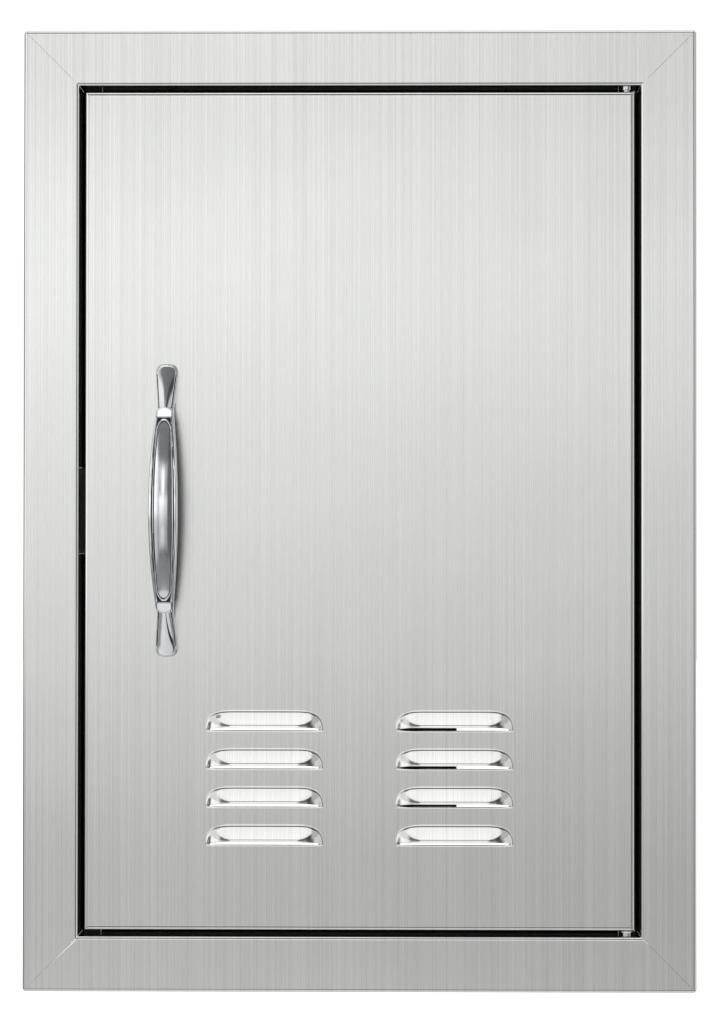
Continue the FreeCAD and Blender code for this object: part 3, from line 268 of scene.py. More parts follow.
# share of its roughness that a bend keeps, between these limits of how square to the front it is
BEND_POLISH = {"From Min": 0.93, "From Max": 0.995, "To Min": 0.5, "To Max": 1.0}
# a surface that faces further to the side than this takes its streaks from its depth
SIDE_FACING = 0.7
# depth of a sheet's swells and of its grain, and the share of the grain that is left to feel
SWELL_DEPTH = 0.35 * MM
GRAIN_DEPTH = 0.02 * MM
GRAIN_STRENGTH = 0.12
# how much wider light spreads across the grain than along it
GRAIN_SPREAD = 0.65
# almost upright, yet square to no face, so that the tangent never vanishes
NEAR_UPRIGHT = (0.0, 0.05, 1.0)


def brushed_stainless(sizes, colours):
    """Grade 304 sheet, belt brushed along its height: soft, tall reflections and upright streaks"""
    material, tree = new_material("brushed_stainless")
    place = put(tree, "TexCoord", {})
    xyz = put(tree, "SeparateXYZ", {0: place.outputs["Object"]})
    normal = put(tree, "SeparateXYZ", {0: place.outputs["Normal"]})

    # the streaks run up the front and the sides, and front to back on level faces
    sideways = put(tree, "Math", {0: normal.outputs["X"]}, operation="ABSOLUTE")
    is_side = put(tree, "Math", {0: sideways, 1: SIDE_FACING}, operation="GREATER_THAN")
    across = put(
        tree, "Mix", {0: is_side, 2: xyz.outputs["X"], 3: xyz.outputs["Y"]}, data_type="FLOAT",
    )
    along = put(tree, "Math", {0: xyz.outputs["Z"], 1: xyz.outputs["Y"]}, operation="ADD")
    unrolled = put(tree, "CombineXYZ", {"X": across, "Y": along})

    # every streak is a little lighter or darker than its neighbour
    noises, shading = [], None
    for width, length, detail, contrast in (
        (sizes.grain_width, sizes.grain_length, 3.0, FINE_CONTRAST),
        (sizes.grain_width, sizes.scratch_length, 2.0, SCRATCH_CONTRAST),
        (BROAD_STREAKS * sizes.grain_width, sizes.grain_length, 2.0, BROAD_CONTRAST),
    ):
        scale = (1 / width, 1 / length, 1.0)
        drawn_out = put(tree, "Mapping", {"Vector": unrolled, "Scale": scale})
        noise = put(
            tree, "TexNoise",
            {"Vector": drawn_out, "Scale": 1.0, "Detail": detail, "Roughness": 0.6},
            noise_dimensions="2D",
        )
        noises.append(noise)
        shade = put(
            tree, "MapRange",
            {"Value": noise, **STREAK_RANGE, "To Min": 1 - contrast, "To Max": 1 + contrast},
        )
        if shading:
            shade = put(tree, "Math", {0: shading, 1: shade}, operation="MULTIPLY")
        shading = shade
    colour = put(
        tree, "VectorMath", {0: tuple(colours.stainless), 1: shading}, operation="MULTIPLY",
    )

    # the tools polish whatever they bend out of the flat
    cloud = put(
        tree, "TexNoise",
        {"Vector": place.outputs["Object"], "Scale": 1 / PATCH_SIZE, "Detail": 2.0},
    )
    uneven = put(tree, "MapRange", {"Value": cloud, **CLOUD_RANGE, **SHEET_GLOSS})
    facing = put(tree, "Math", {0: normal.outputs["Y"]}, operation="ABSOLUTE")
    polish = put(tree, "MapRange", {"Value": facing, **BEND_POLISH})
    gloss = put(tree, "Math", {0: uneven, 1: polish}, operation="MULTIPLY")

    # a rolled sheet is never quite flat, so its reflections swim a little
    swell = put(
        tree, "TexNoise",
        {"Vector": place.outputs["Object"], "Scale": 1 / sizes.wave_length, "Detail": 1.0},
    )
    waves = put(tree, "Bump", {"Strength": 1.0, "Distance": SWELL_DEPTH, "Height": swell})
    grain = {"Strength": GRAIN_STRENGTH, "Distance": GRAIN_DEPTH, "Height": noises[0]}
    bump = put(tree, "Bump", {**grain, "Normal": waves})

    # light spreads across the grain, so the tangent lies level
    level = put(
        tree, "VectorMath",
        {0: NEAR_UPRIGHT, 1: place.outputs["Normal"]},
        operation="CROSS_PRODUCT",
    )
    tangent = put(
        tree, "VectorTransform", {0: level},
        vector_type="VECTOR", convert_from="OBJECT", convert_to="WORLD",
    )
    shader = put(
        tree, "BsdfPrincipled",
        {
            "Base Color": colour,
            "Metallic": 1.0,
            "Roughness": gloss,
            "Anisotropic": GRAIN_SPREAD,
            "Tangent": tangent,
            "Normal": bump,
        },
    )
    put(tree, "OutputMaterial", {"Surface": shader})
    return material


# what all metals and all mouldings have in common: the noise behind their patches, brightness
# of the darkest and lightest patch, strength of the bump
METAL = {"Detail": 4.0, "Roughness": 0.55}, {"To Min": 0.94, "To Max": 1.04}, 0.3
MOULDING = {"Detail": 3.0, "Roughness": 0.6}, {"To Min": 0.92, "To Max": 1.06}, 0.4
# change of roughness between the patches of a moulding
MOULDED_SPREAD = 0.05
# painted shade on the casting's back, which faces the door and lies in the bow's shade, and partly
# real thin plating that leaves a dark skin there: where the darkening starts and ends by how far a
# surface faces back, and the brightness that is left
PAINTED_BACK_SHADE = {"From Min": 0.2, "From Max": 0.7, "To Min": 1.0, "To Max": 0.05}


def mottled(name, colour, roughness, spread, patch, depth, looks, surface, shade_back=False):
    """Finish with soft patches: spread is their change of roughness, depth that of the surface"""
    noise, tint_range, strength = looks
    material, tree = new_material(name)
    place = put(tree, "TexCoord", {})
    cloud = put(
        tree, "TexNoise", {"Vector": place.outputs["Object"], "Scale": 1 / patch, **noise},
    )
    gloss_range = {"To Min": roughness - spread, "To Max": roughness + spread}
    gloss, shade = (
        put(tree, "MapRange", {"Value": cloud, **CLOUD_RANGE, **levels})
        for levels in (gloss_range, tint_range)
    )
    tint = put(tree, "VectorMath", {0: tuple(colour), 1: shade}, operation="MULTIPLY")
    # painted shade: faces that turn back towards the door are darkened
    if shade_back:
        normal = put(tree, "SeparateXYZ", {0: place.outputs["Normal"]})
        back_shade = put(tree, "MapRange", {"Value": normal.outputs["Y"], **PAINTED_BACK_SHADE})
        tint = put(tree, "VectorMath", {0: tint, 1: back_shade}, operation="MULTIPLY")
    bump = put(tree, "Bump", {"Strength": strength, "Distance": depth, "Height": cloud})
    shader = put(
        tree, "BsdfPrincipled",
        {"Base Color": tint, "Roughness": gloss, "Normal": bump, **surface},
    )
    put(tree, "OutputMaterial", {"Surface": shader})
    return material


# Metals: colour, roughness and its spread, size of the patches, depth of their ripple
METALS = {
    # nickel and chrome over a buffed zinc casting: almost a mirror, with a faint ripple, and
    # painted shade on its back
    "bright_chrome": ("chrome", 0.06, 0.015, 9 * MM, 0.003 * MM),
    # the same plating over a blasted dome: highlights with soft edges
    "satin_chrome": ("chrome", 0.15, 0.02, 9 * MM, 0.004 * MM),
    # the channel round the dome and the line cut round each foot: a dull, dark line of painted
    # shade in these creases, partly also metal that plating and buff hardly reach
    "dark_recess": ("recess", 0.35, 0.04, 4 * MM, 0.01 * MM),
    # zinc plating in the closed space between the skins, darkened with painted shade: dark, with no
    # clear reflection
    "shaded_zinc": ("recess", 0.5, 0.04, 6 * MM, 0.01 * MM),
    # passivated zinc on pressed steel: pale, bluish and mottled
    "zinc_plated_steel": ("zinc", 0.34, 0.07, 5 * MM, 0.03 * MM),
    # turned and cold-headed steel: small, clear highlights
    "bright_steel": ("steel", 0.2, 0.05, 2 * MM, 0.01 * MM),
    # drawn wire with a film of oil: darker, with soft highlights
    "spring_steel": ("spring", 0.3, 0.06, 1.5 * MM, 0.01 * MM),
}
# Mouldings and pressings: colour, roughness, size and depth of the grit, IOR
MOULDINGS = {
    # natural nylon: milky white with a waxy sheen
    "white_nylon": ("nylon", 0.42, 0.5 * MM, 0.02 * MM, 1.53),
    # ABS from a spark-eroded tool: even black with a soft sheen
    "black_plastic": ("plastic", 0.46, 0.3 * MM, 0.03 * MM, 1.5),
    # sintered ferrite: dull, dark and grainy
    "ferrite": ("ferrite", 0.62, 0.25 * MM, 0.03 * MM, 1.7),
    # powder coat: black, with the slight dimples that it cures to
    "black_coated_steel": ("coating", 0.5, 0.6 * MM, 0.02 * MM, 1.5),
    # EPDM: charcoal, with hardly any shine
    "soft_rubber": ("rubber", 0.7, 0.4 * MM, 0.03 * MM, 1.52),
}


def make_finishes(scene):
    """Builds every finish once, by the name of its slot in the record"""
    colours = scene.door_colours
    finishes = {"brushed_stainless": brushed_stainless(scene.door_sizes, colours)}
    for name, (tint, *numbers) in METALS.items():
        # only the handle's chrome gets painted shade on its back
        colour, shaded_back = getattr(colours, tint), name == "bright_chrome"
        finishes[name] = mottled(name, colour, *numbers, METAL, {"Metallic": 1.0}, shaded_back)
    for name, (tint, rough, *grit, ior) in MOULDINGS.items():
        colour, surface = getattr(colours, tint), {"IOR": ior}
        finishes[name] = mottled(name, colour, rough, MOULDED_SPREAD, *grit, MOULDING, surface)
    return finishes


FINISHES = {}


def node_slot(node):
    """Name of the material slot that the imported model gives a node"""
    return frame["nodes"][node].data.materials[0].name.split(".")[0]


def dress_packed_nodes():
    """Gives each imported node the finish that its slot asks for"""
    for piece in frame["nodes"].values():
        for slot in piece.material_slots:
            slot.material = FINISHES[slot.material.name.split(".")[0]]


def add_piece(name, bm, node, *finishes):
    """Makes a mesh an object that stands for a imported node, in its slot's finish or in others"""
    mesh = bpy.data.meshes.new(name)
    for face in bm.faces:
        face.smooth = True
    for edge in bm.edges:
        edge.smooth = not edge.is_manifold or edge.calc_face_angle() < CUT_ANGLE
    bm.to_mesh(mesh)
    bm.free()
    slot = node_slot(node)
    for finish in finishes or [slot]:
        mesh.materials.append(FINISHES[finish])
    piece = bpy.data.objects.new(name, mesh)
    bpy.context.scene.collection.objects.link(piece)
    weighted = piece.modifiers.new("Even shading", "WEIGHTED_NORMAL")
    weighted.keep_sharp = True
    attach(piece, node_body(node))
    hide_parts(node)


def node_body(node):
    """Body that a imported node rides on"""
    return frame["nodes"][node].parent.name.split(":")[-1]


def round_cut_edges(bm, rounding, steps):
    """Rounds the edges that a shear or a saw left sharp"""
    cut_edges = [e for e in bm.edges if e.is_manifold and e.calc_face_angle() > CUT_ANGLE]
    bmesh.ops.bevel(
        bm,
        geom=cut_edges,
        offset=rounding,
        segments=steps,
        profile=0.5,
        affect="EDGES",
        clamp_overlap=True,
        material=-1,
    )
    bmesh.ops.dissolve_degenerate(bm, dist=MERGE_DISTANCE, edges=bm.edges)


def merged_copy(node):
    """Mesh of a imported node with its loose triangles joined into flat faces"""
    bm = bmesh.new()
    bm.from_mesh(frame["nodes"][node].data)
    bmesh.ops.remove_doubles(bm, verts=bm.verts, dist=MERGE_DISTANCE)
    bmesh.ops.dissolve_limit(bm, angle_limit=LEVEL_ANGLE, verts=bm.verts, edges=bm.edges)
    return bm


def finished_copy(node, rounding, steps, *finishes):
    """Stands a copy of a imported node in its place, with its cut edges rounded off"""
    bm = merged_copy(node)
    round_cut_edges(bm, rounding, steps)
    add_piece("finished_" + node, bm, node, *finishes)


def cut_through(bm, place, across):
    """Cuts new edges where a plane meets the mesh, and takes nothing away"""
    geom = [*bm.verts, *bm.edges, *bm.faces]
    bmesh.ops.bisect_plane(bm, geom=geom, dist=MERGE_DISTANCE, plane_co=place, plane_no=across)


def round_frame_corner(bm, outer, radius):
    """Draws the frame's outer corners in to an arc; outer is half the frame's width and height"""
    for share in CORNER_CUTS:
        for axis in (0, 2):
            for side in (-1, 1):
                outward = Vector()
                outward[axis] = side
                cut_through(bm, outward * (outer[axis] - share * radius), outward)
    for vert in bm.verts:
        beyond_x = abs(vert.co.x) - (outer.x - radius)
        beyond_z = abs(vert.co.z) - (outer.z - radius)
        if beyond_x > 0 and beyond_z > 0:
            drawn = max(beyond_x, beyond_z) / math.hypot(beyond_x, beyond_z)
            vert.co.x -= math.copysign(beyond_x * (1 - drawn), vert.co.x)
            vert.co.z -= math.copysign(beyond_z * (1 - drawn), vert.co.z)


def ease_mitre(bm, outer, front, width, drop):
    """Files the front edge of the lower left mitre, most at its inner end and not near its tip"""
    corner = Vector((-outer.x, front, -outer.z))
    length = MITRE_LENGTH - MITRE_TIP
    across = Matrix.Rotation(math.atan(width / length), 3, "Y") @ Vector((1, 0, -1))
    along = Vector((1, 0, 1)).normalized()
    cut_through(bm, corner + along * MITRE_TIP, across)
    for vert in bm.verts:
        inward = vert.co - corner
        reach = inward.dot(along)
        beside = (inward - along * reach).length
        if beside < MITRE_REACH and MITRE_TIP < reach < MITRE_LENGTH:
            vert.co.y += drop * (reach - MITRE_TIP) / length


class ACCESSDOOR_OT_finishes(bpy.types.Operator):
    """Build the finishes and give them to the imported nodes"""

    bl_idname = "access_door.finishes"
    bl_label = "Finishes"

    def execute(self, context):
        FINISHES.update(make_finishes(context.scene))
        dress_packed_nodes()
        return {"FINISHED"}


class ACCESSDOOR_OT_sheet_metal(bpy.types.Operator):
    """Round off the cut edges of the frame and of the door's skins"""

    bl_idname = "access_door.sheet_metal"
    bl_label = "Sheet metal"

    def execute(self, context):
        sizes = context.scene.door_sizes
        front = Vector(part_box("frame_left_stile")[0]).y
        outer = Vector(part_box("frame_right_stile")[1])
        for node in (
            "frame_left_stile", "frame_right_stile", "frame_top_rail", "frame_bottom_rail",
        ):
            bm = merged_copy(node)
            if node == "frame_bottom_rail":
                ease_mitre(bm, outer, front, sizes.mitre_edge, sizes.mitre_drop)
            round_frame_corner(bm, outer, sizes.frame_corner)
            bmesh.ops.remove_doubles(bm, verts=bm.verts, dist=SLIVER)
            round_cut_edges(bm, sizes.edge_rounding, sizes.rounding_steps)
            add_piece("finished_" + node, bm, node)
        for node in (
            "door_inner_skin", "left_stop_strips", "right_stop_strip", "top_stop_strip",
            "bottom_stop_strip",
        ):
            finished_copy(node, sizes.edge_rounding, sizes.rounding_steps)
        return {"FINISHED"}


class ACCESSDOOR_OT_fittings(bpy.types.Operator):
    """Round off the plates, pins, catch and stiffener behind the door"""

    bl_idname = "access_door.fittings"
    bl_label = "Fittings"

    def execute(self, context):
        sizes = context.scene.door_sizes
        for node in (
            "frame_corner_plates", "door_bumpers", "top_pivot_plate", "bottom_pivot_plate",
            "top_pivot_bush", "bottom_pivot_pin", "pivot_washer", "catch_housing",
            "catch_magnet", "catch_pole_plates", "strike_plate", "top_hinge_bracket",
            "bottom_hinge_bracket", "bottom_door_bush", "hinge_pin", "pin_collar",
            "handle_washers",
        ):
            finished_copy(node, sizes.small_rounding, sizes.rounding_steps)
        # painted shade: the stiffener is darkened to stand for the shade in the closed channel
        # between the skins
        finished_copy("door_stiffener", sizes.edge_rounding, sizes.rounding_steps, "shaded_zinc")
        return {"FINISHED"}


# slope of a hood by share of its run from the sheet: fillet, hollow face, sharp crown, upright lip
FACE_SLOPES = (
    (0.0, 0.0), (0.02, 0.11), (0.08, 0.18), (0.1, 0.34), (0.155, 0.56), (0.17, 0.67),
    (0.3, 0.69), (0.5, 0.76), (0.7, 0.83), (0.82, 0.84), (0.87, 0.2), (1.0, 0.13),
)
# the same along the lip towards a hood's ends: fillet, steep flank, long soft crown
END_SLOPES = (
    (0.0, 0.0), (0.03, 0.2), (0.07, 1.1), (0.18, 1.0), (0.3, 0.6), (0.62, 0.25), (1.0, 0.0),
)
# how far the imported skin's box reaches in front of its sheet, and the radii of its round holes
HOOD_REACH = 6.5 * MM
SCREW_HOLE = 2.05 * MM
PIVOT_HOLE = 2.82 * MM
# how square a hood's outline is between an ellipse, 2, and a rectangle
OUTLINE_POWER = 2.3
# where a hood's crown and the top of its face lie, in shares of its rise
CROWN = 0.21
FACE_TOP = 0.8
# plain sheet beside each feature, so that its shading ends there
GUARD = 0.25 * MM
# how far the ends of a lip are drawn down, and how suddenly towards the ends and the sheet
LIP_DROOP = 1.6 * MM
DROOP_POWER = 3
DROOP_FADE = 2
# how the sheared edge below a mouth rolls in, and how suddenly that stops at the mouth's ends
ROLL_REACH = 1.0 * MM
ROLL_DEPTH = 0.25 * MM
ROLL_POWER = 8
# how far a mouth ends inside its hood's corners
MOUTH_INSET = 2.4 * MM
# half the plain square of sheet round a hole
HOLE_MARGIN = 4 * MM
# steps round the bend along the pan's edges and round a hole
BEND_STEPS = 8
HOLE_STEPS = 24


def grid_lines(start, stretches):
    """Places of lines from start on: a stretch is where it ends and how many steps it takes"""
    places = [start]
    for end, steps in stretches:
        begin = places[-1]
        places += [begin + (end - begin) * (step + 1) / steps for step in range(steps)]
    return places


def climbed(slopes, share):
    """Height that a surface with these slopes has gained at a share of its run"""
    total = 0.0
    for (start, steep), (end, next_steep) in zip(slopes, slopes[1:]):
        run = min(share, end) - start
        if run > 0:
            reached = steep + (next_steep - steep) * run / (end - start)
            total += run * (steep + reached) / 2
    return total


def hood_stand(skin, beside, above):
    """How far a hood stands off the sheet, beside its middle and above its lip"""
    outward = max(0.0, (beside - skin.width / 2) / skin.end + 1)
    upward = max(0.0, above / skin.rise)
    reach = (outward ** OUTLINE_POWER + upward ** OUTLINE_POWER) ** (1 / OUTLINE_POWER)
    if reach >= 1:
        return 0.0
    head_on = (upward / reach) ** 2 if reach > 0 else 1.0
    face = climbed(FACE_SLOPES, 1 - reach) / climbed(FACE_SLOPES, 1)
    end = climbed(END_SLOPES, 1 - reach) / climbed(END_SLOPES, 1)
    return skin.depth * (head_on * face + (1 - head_on) * end)


def round_hole(bm, centre, radius, turn):
    """Opens a round hole in the plain square of sheet round a point"""
    square = [
        face for face in bm.faces
        if max(abs(c) for c in face.calc_center_median() - centre) < HOLE_MARGIN
    ]
    inside = set(square)
    rim = [
        edge for edge in bm.edges
        if not inside.isdisjoint(edge.link_faces) and not inside.issuperset(edge.link_faces)
    ]
    bmesh.ops.delete(bm, geom=square, context="FACES")
    circle = bmesh.ops.create_circle(
        bm, segments=HOLE_STEPS, radius=radius, matrix=Matrix.Translation(centre) @ turn
    )
    ring = dict.fromkeys(edge for vert in circle["verts"] for edge in vert.link_edges)
    bmesh.ops.bridge_loops(bm, edges=[*rim, *ring])


def extruded(bm, edges):
    """Extrudes a row of edges, and returns its new points and the new edges between them"""
    made = bmesh.ops.extrude_edge_only(bm, edges=edges)["geom"]
    points = [item for item in made if isinstance(item, bmesh.types.BMVert)]
    fresh = set(points)
    return points, [
        item for item in made
        if isinstance(item, bmesh.types.BMEdge) and fresh.issuperset(item.verts)
    ]


def is_at(value, reach):
    """Whether a place lies at this reach to either side of the middle"""
    return abs(abs(value) - reach) < MERGE_DISTANCE


def fold_edge(bm, places):
    """Folds a flat pan's border back, through places given by half width, half height and depth"""
    half_x, half_z, _ = places[0]
    border = [
        edge for edge in bm.edges
        if edge.is_boundary
        and all(is_at(v.co.x, half_x) or is_at(v.co.z, half_z) for v in edge.verts)
    ]
    for next_x, next_z, depth in places[1:]:
        points, border = extruded(bm, border)
        for vert in points:
            if is_at(vert.co.x, half_x):
                vert.co.x = math.copysign(next_x, vert.co.x)
            if is_at(vert.co.z, half_z):
                vert.co.z = math.copysign(next_z, vert.co.z)
            vert.co.y = depth
        half_x, half_z = next_x, next_z


def skin_columns(skin, flat_x, handle_x, pivot_x):
    """Upright lines of the pan's grid, close together over the ends of the louvres"""
    half = skin.width / 2
    stretches = [
        (GUARD - flat_x, 1), (handle_x - HOLE_MARGIN, 4), (handle_x + HOLE_MARGIN, 1),
    ]
    for middle in (-skin.spread / 2, skin.spread / 2):
        stretches += [
            (middle - half - GUARD, 2),
            (middle - half, 1),
            (middle - half + skin.end, 36),
            (middle + half - skin.end, 8),
            (middle + half, 36),
            (middle + half + GUARD, 1),
        ]
    stretches += [(pivot_x - HOLE_MARGIN, 4), (flat_x - GUARD, 1), (flat_x, 1)]
    return grid_lines(-flat_x, stretches)


def skin_rows(skin, flat_z, lowest_lip):
    """Level lines of the pan's grid, close together over each hood and below its mouth"""
    stretches = [(GUARD - flat_z, 1)]
    for row in range(skin.rows):
        lip = lowest_lip + row * skin.pitch
        stretches += [
            (lip - skin.mouth - ROLL_REACH - GUARD, 2),
            (lip - skin.mouth - ROLL_REACH, 1),
            (lip - skin.mouth, 6),
            (lip, 1),
            (lip + CROWN * skin.rise, 12),
            (lip + FACE_TOP * skin.rise, 8),
            (lip + skin.rise, 16),
            (lip + skin.rise + GUARD, 1),
        ]
    for end in (-1, 1):
        screw = end * skin.screw_spread / 2
        stretches += [(screw - HOLE_MARGIN, 3), (screw + HOLE_MARGIN, 1)]
    return grid_lines(-flat_z, [*stretches, (flat_z - GUARD, 4), (flat_z, 1)])


def flat_sheet(columns, rows, depth):
    """Upright sheet at a depth, with a line at each of these places"""
    bm = bmesh.new()
    last_column, last_row = len(columns) - 1, len(rows) - 1
    bmesh.ops.create_grid(bm, x_segments=last_column, y_segments=last_row, size=1.0)
    for vert in bm.verts:
        column = columns[round((vert.co.x + 1) / 2 * last_column)]
        row = rows[round((vert.co.y + 1) / 2 * last_row)]
        vert.co = (column, depth, row)
    return bm


def from_lip(skin, lowest_lip, place):
    """Distance of a point beside its louvre's middle and above its lip"""
    row = math.floor((place.z - lowest_lip + skin.mouth + ROLL_REACH + GUARD) / skin.pitch)
    row = min(max(row, 0), skin.rows - 1)
    beside = abs(abs(place.x) - skin.spread / 2)
    return beside, place.z - lowest_lip - row * skin.pitch


def press_louvres(bm, skin, lowest_lip):
    """Shears the mouths in a flat sheet and presses the hoods out above them"""
    half = skin.width / 2
    mouths = []
    for face in bm.faces:
        beside, above = from_lip(skin, lowest_lip, face.calc_center_median())
        if -skin.mouth < above < 0 and beside < half - MOUTH_INSET:
            mouths.append(face)
    bmesh.ops.delete(bm, geom=mouths, context="FACES")
    for vert in bm.verts:
        beside, above = from_lip(skin, lowest_lip, vert.co)
        if beside > half:
            continue
        if above > -MERGE_DISTANCE:
            vert.co.y -= hood_stand(skin, beside, above)
            outward = max(0.0, (beside - half) / skin.end + 1)
            kept = max(0.0, 1 - above / skin.rise)
            vert.co.z -= LIP_DROOP * outward ** DROOP_POWER * kept ** DROOP_FADE
        below = -skin.mouth - above
        if -MERGE_DISTANCE < below < ROLL_REACH:
            fade = 1 - (beside / half) ** ROLL_POWER
            vert.co.y += ROLL_DEPTH * fade * (1 - below / ROLL_REACH) ** 2


def bend_places(flat_x, flat_z, face_y, radius):
    """Half width, half height and depth at each step round the bend of a pan's edge"""
    places = [(flat_x, flat_z, face_y)]
    for step in range(1, BEND_STEPS + 1):
        turned = math.radians(90) * step / BEND_STEPS
        out = radius * math.sin(turned)
        back = radius * (1 - math.cos(turned))
        places.append((flat_x + out, flat_z + out, face_y + back))
    return places


class ACCESSDOOR_OT_louvred_skin(bpy.types.Operator):
    """Press the louvred front skin of the door from one sheet"""

    bl_idname = "access_door.louvred_skin"
    bl_label = "Louvred skin"

    def execute(self, context):
        skin = context.scene.door_skin
        low, high = (Vector(corner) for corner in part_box("door_outer_skin"))
        face_y = low.y + HOOD_REACH
        flat_x, flat_z = high.x - skin.bend, high.z - skin.bend
        handle_x = sum(Vector(c).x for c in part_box("handle")) / 2
        pivot = sum((Vector(c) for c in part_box("bottom_pivot_pin")), Vector()) / 2
        lowest_lip = low.z + skin.foot + skin.mouth

        columns = skin_columns(skin, flat_x, handle_x, pivot.x)
        rows = skin_rows(skin, flat_z, lowest_lip)
        bm = flat_sheet(columns, rows, face_y)
        press_louvres(bm, skin, lowest_lip)

        # behind the bend, the pan's wall has a line beside the pivots' holes
        places = bend_places(flat_x, flat_z, face_y, skin.bend)
        places += [(high.x, high.z, pivot.y + HOLE_MARGIN), (high.x, high.z, high.y)]
        fold_edge(bm, places)

        face_on = Matrix.Rotation(math.radians(90), 4, "X")
        level = Matrix.Identity(4)
        for end in (-1, 1):
            screw = Vector((handle_x, face_y, end * skin.screw_spread / 2))
            round_hole(bm, screw, SCREW_HOLE, face_on)
            round_hole(bm, Vector((pivot.x, pivot.y, end * high.z)), PIVOT_HOLE, level)
        bmesh.ops.recalc_face_normals(bm, faces=bm.faces)
        front = max(bm.faces, key=lambda f: f.calc_area())
        if front.normal.y > 0:
            bmesh.ops.reverse_faces(bm, faces=bm.faces)
        bmesh.ops.solidify(bm, geom=bm.faces, thickness=skin.sheet)
        sizes = context.scene.door_sizes
        round_cut_edges(bm, sizes.edge_rounding, sizes.rounding_steps)
        add_piece("louvred_skin", bm, "door_outer_skin")
        return {"FINISHED"}


# half widths of the grip's end, a foot's neck, a foot and the collar's facet
END_HALF = 4.85 * MM
NECK_HALF = 4.1 * MM
FOOT_HALF = 5.75 * MM
FACET_HALF = 3.5 * MM
# how square a foot's round end is: 2 would be a half circle
FOOT_POWER = 3
# half the handle's length, and where its back meets the door
HANDLE_REACH = 77.15 * MM
HEEL_REACH = 57 * MM
# how far the bow falls back from its middle to a collar, in front and behind
BOW_RISE = 10 * MM
UNDER_RISE = 10.5 * MM
COLLAR_DROP = 4 * MM
FOOT_TIP = 3.2 * MM
NECK_STEP = 1.4 * MM
# the line cut round a foot just inside its edge
FOOT_LINE = 0.8 * MM
FOOT_LINE_HALF = 0.35 * MM
# half width of the dome at the middle and near its ends, and where its round ends start and stop
DOME_HALF = 4.45 * MM
DOME_END_HALF = 2.7 * MM
DOME_ROUND = 41.5 * MM
DOME_REACH = 45.8 * MM
# share of its height that the dome has lost at its ends
DOME_FADE = 0.9
# the channel round the dome with its sloping wall, and the bead that runs in it
CHANNEL = 0.35 * MM
CHANNEL_WALL = 0.3 * MM
BEAD_PLACE = 0.68 * MM
BEAD_HALF = 0.32 * MM
BEAD_RISE = 0.42 * MM
RIM_WIDTH = 1.5 * MM
EDGE_ROUND = 1.2 * MM
BACK_ROUND = 1.0 * MM
# a collar: the groove above it, how far it stands up and bulges down, and the slope of its facets
GROOVE_LENGTH = 0.6 * MM
GROOVE_DEPTH = 0.9 * MM
COLLAR_RISE = 0.4 * MM
COLLAR_BULGE = 1.5 * MM
FACET_SLOPE = 0.9
# a foot: how hollow its ridge is, how far its sides fall from that and how much less at its tip
FOOT_HOLLOW = 0.1
SIDE_FALL = 2.0 * MM
SIDE_EASE = 1.1 * MM
SIDE_POWER = 1.5
# share of its thickness that a section keeps below its relief, and the width of its back
LEAST_BODY = 0.4
BACK_WIDTH = 0.985
# points along the front and the back of a section
FRONT_STEPS = 80
BACK_STEPS = 12
# rings round a foot's end, and how near they come to its tip
TIP_RINGS = 18
TIP_TURN = math.radians(86)
# what a number stands for in the list of the handle's finishes; the last is painted shade
BRIGHT, SATIN, PAINTED_SHADE = range(3)


def handle_outline(sizes, height):
    """Half width, back and front of the handle at a height, measured off the door"""
    away = abs(height)
    neck = sizes.bow_reach + sizes.collar
    flare = HANDLE_REACH - FOOT_HALF
    bow_end = sizes.stand - BOW_RISE
    under_end = sizes.stand - sizes.grip_depth - UNDER_RISE
    if away <= sizes.bow_reach:
        full = 1 - (away / sizes.bow_reach) ** 2
        half = END_HALF + (sizes.half_width - END_HALF) * full
        return half, under_end + UNDER_RISE * full, bow_end + BOW_RISE * full
    lifted = max(0.0, (HEEL_REACH - away) / (HEEL_REACH - sizes.bow_reach))
    if away <= neck:
        along = (away - sizes.bow_reach) / sizes.collar
        half = END_HALF + (NECK_HALF - END_HALF) * along
        return half, under_end * lifted, bow_end - COLLAR_DROP * along
    along = (away - neck) / (HANDLE_REACH - neck)
    fall = bow_end - COLLAR_DROP - NECK_STEP - FOOT_TIP
    front = FOOT_TIP + fall * (1 - along) * (1 - FOOT_HOLLOW * along)
    if away <= flare:
        half = NECK_HALF + (FOOT_HALF - NECK_HALF) * (away - neck) / (flare - neck)
    else:
        left = 1 - ((away - flare) / FOOT_HALF) ** FOOT_POWER
        half = FOOT_HALF * max(left, 0.0) ** (1 / FOOT_POWER)
    return half, under_end * lifted, front


def dome_share(beside, height):
    """0 along the middle of the dome, 1 round its edge, and more outside it"""
    half = DOME_END_HALF + (DOME_HALF - DOME_END_HALF) * (1 - (height / DOME_REACH) ** 2)
    beyond = max(0.0, (abs(height) - DOME_ROUND) / (DOME_REACH - DOME_ROUND))
    return math.hypot(beside / half, beyond), half


def edge_fall(inside, radius):
    """How far a rounded edge has fallen at a distance inside the outline"""
    out = min(max(radius - inside, 0.0), radius)
    return radius - math.sqrt(radius ** 2 - out ** 2)


def grip_relief(sizes, beside, height, inside):
    """Rim, channel, bead and dome along the grip"""
    share, dome_half = dome_share(beside, height)
    relief = -CHANNEL * min(1.0, max(0.0, (inside - RIM_WIDTH) / CHANNEL_WALL))
    relief -= edge_fall(inside, EDGE_ROUND)
    if share < 1:
        full = 1 - DOME_FADE * (height / DOME_REACH) ** 2
        rise = (sizes.dome_rise + CHANNEL) * full
        return max(relief, rise * (1 - share ** 2) - CHANNEL)
    off_bead = ((share - 1) * dome_half - BEAD_PLACE) / BEAD_HALF
    if abs(off_bead) < 1:
        relief = max(relief, BEAD_RISE * math.sqrt(1 - off_bead ** 2) - CHANNEL)
    return relief


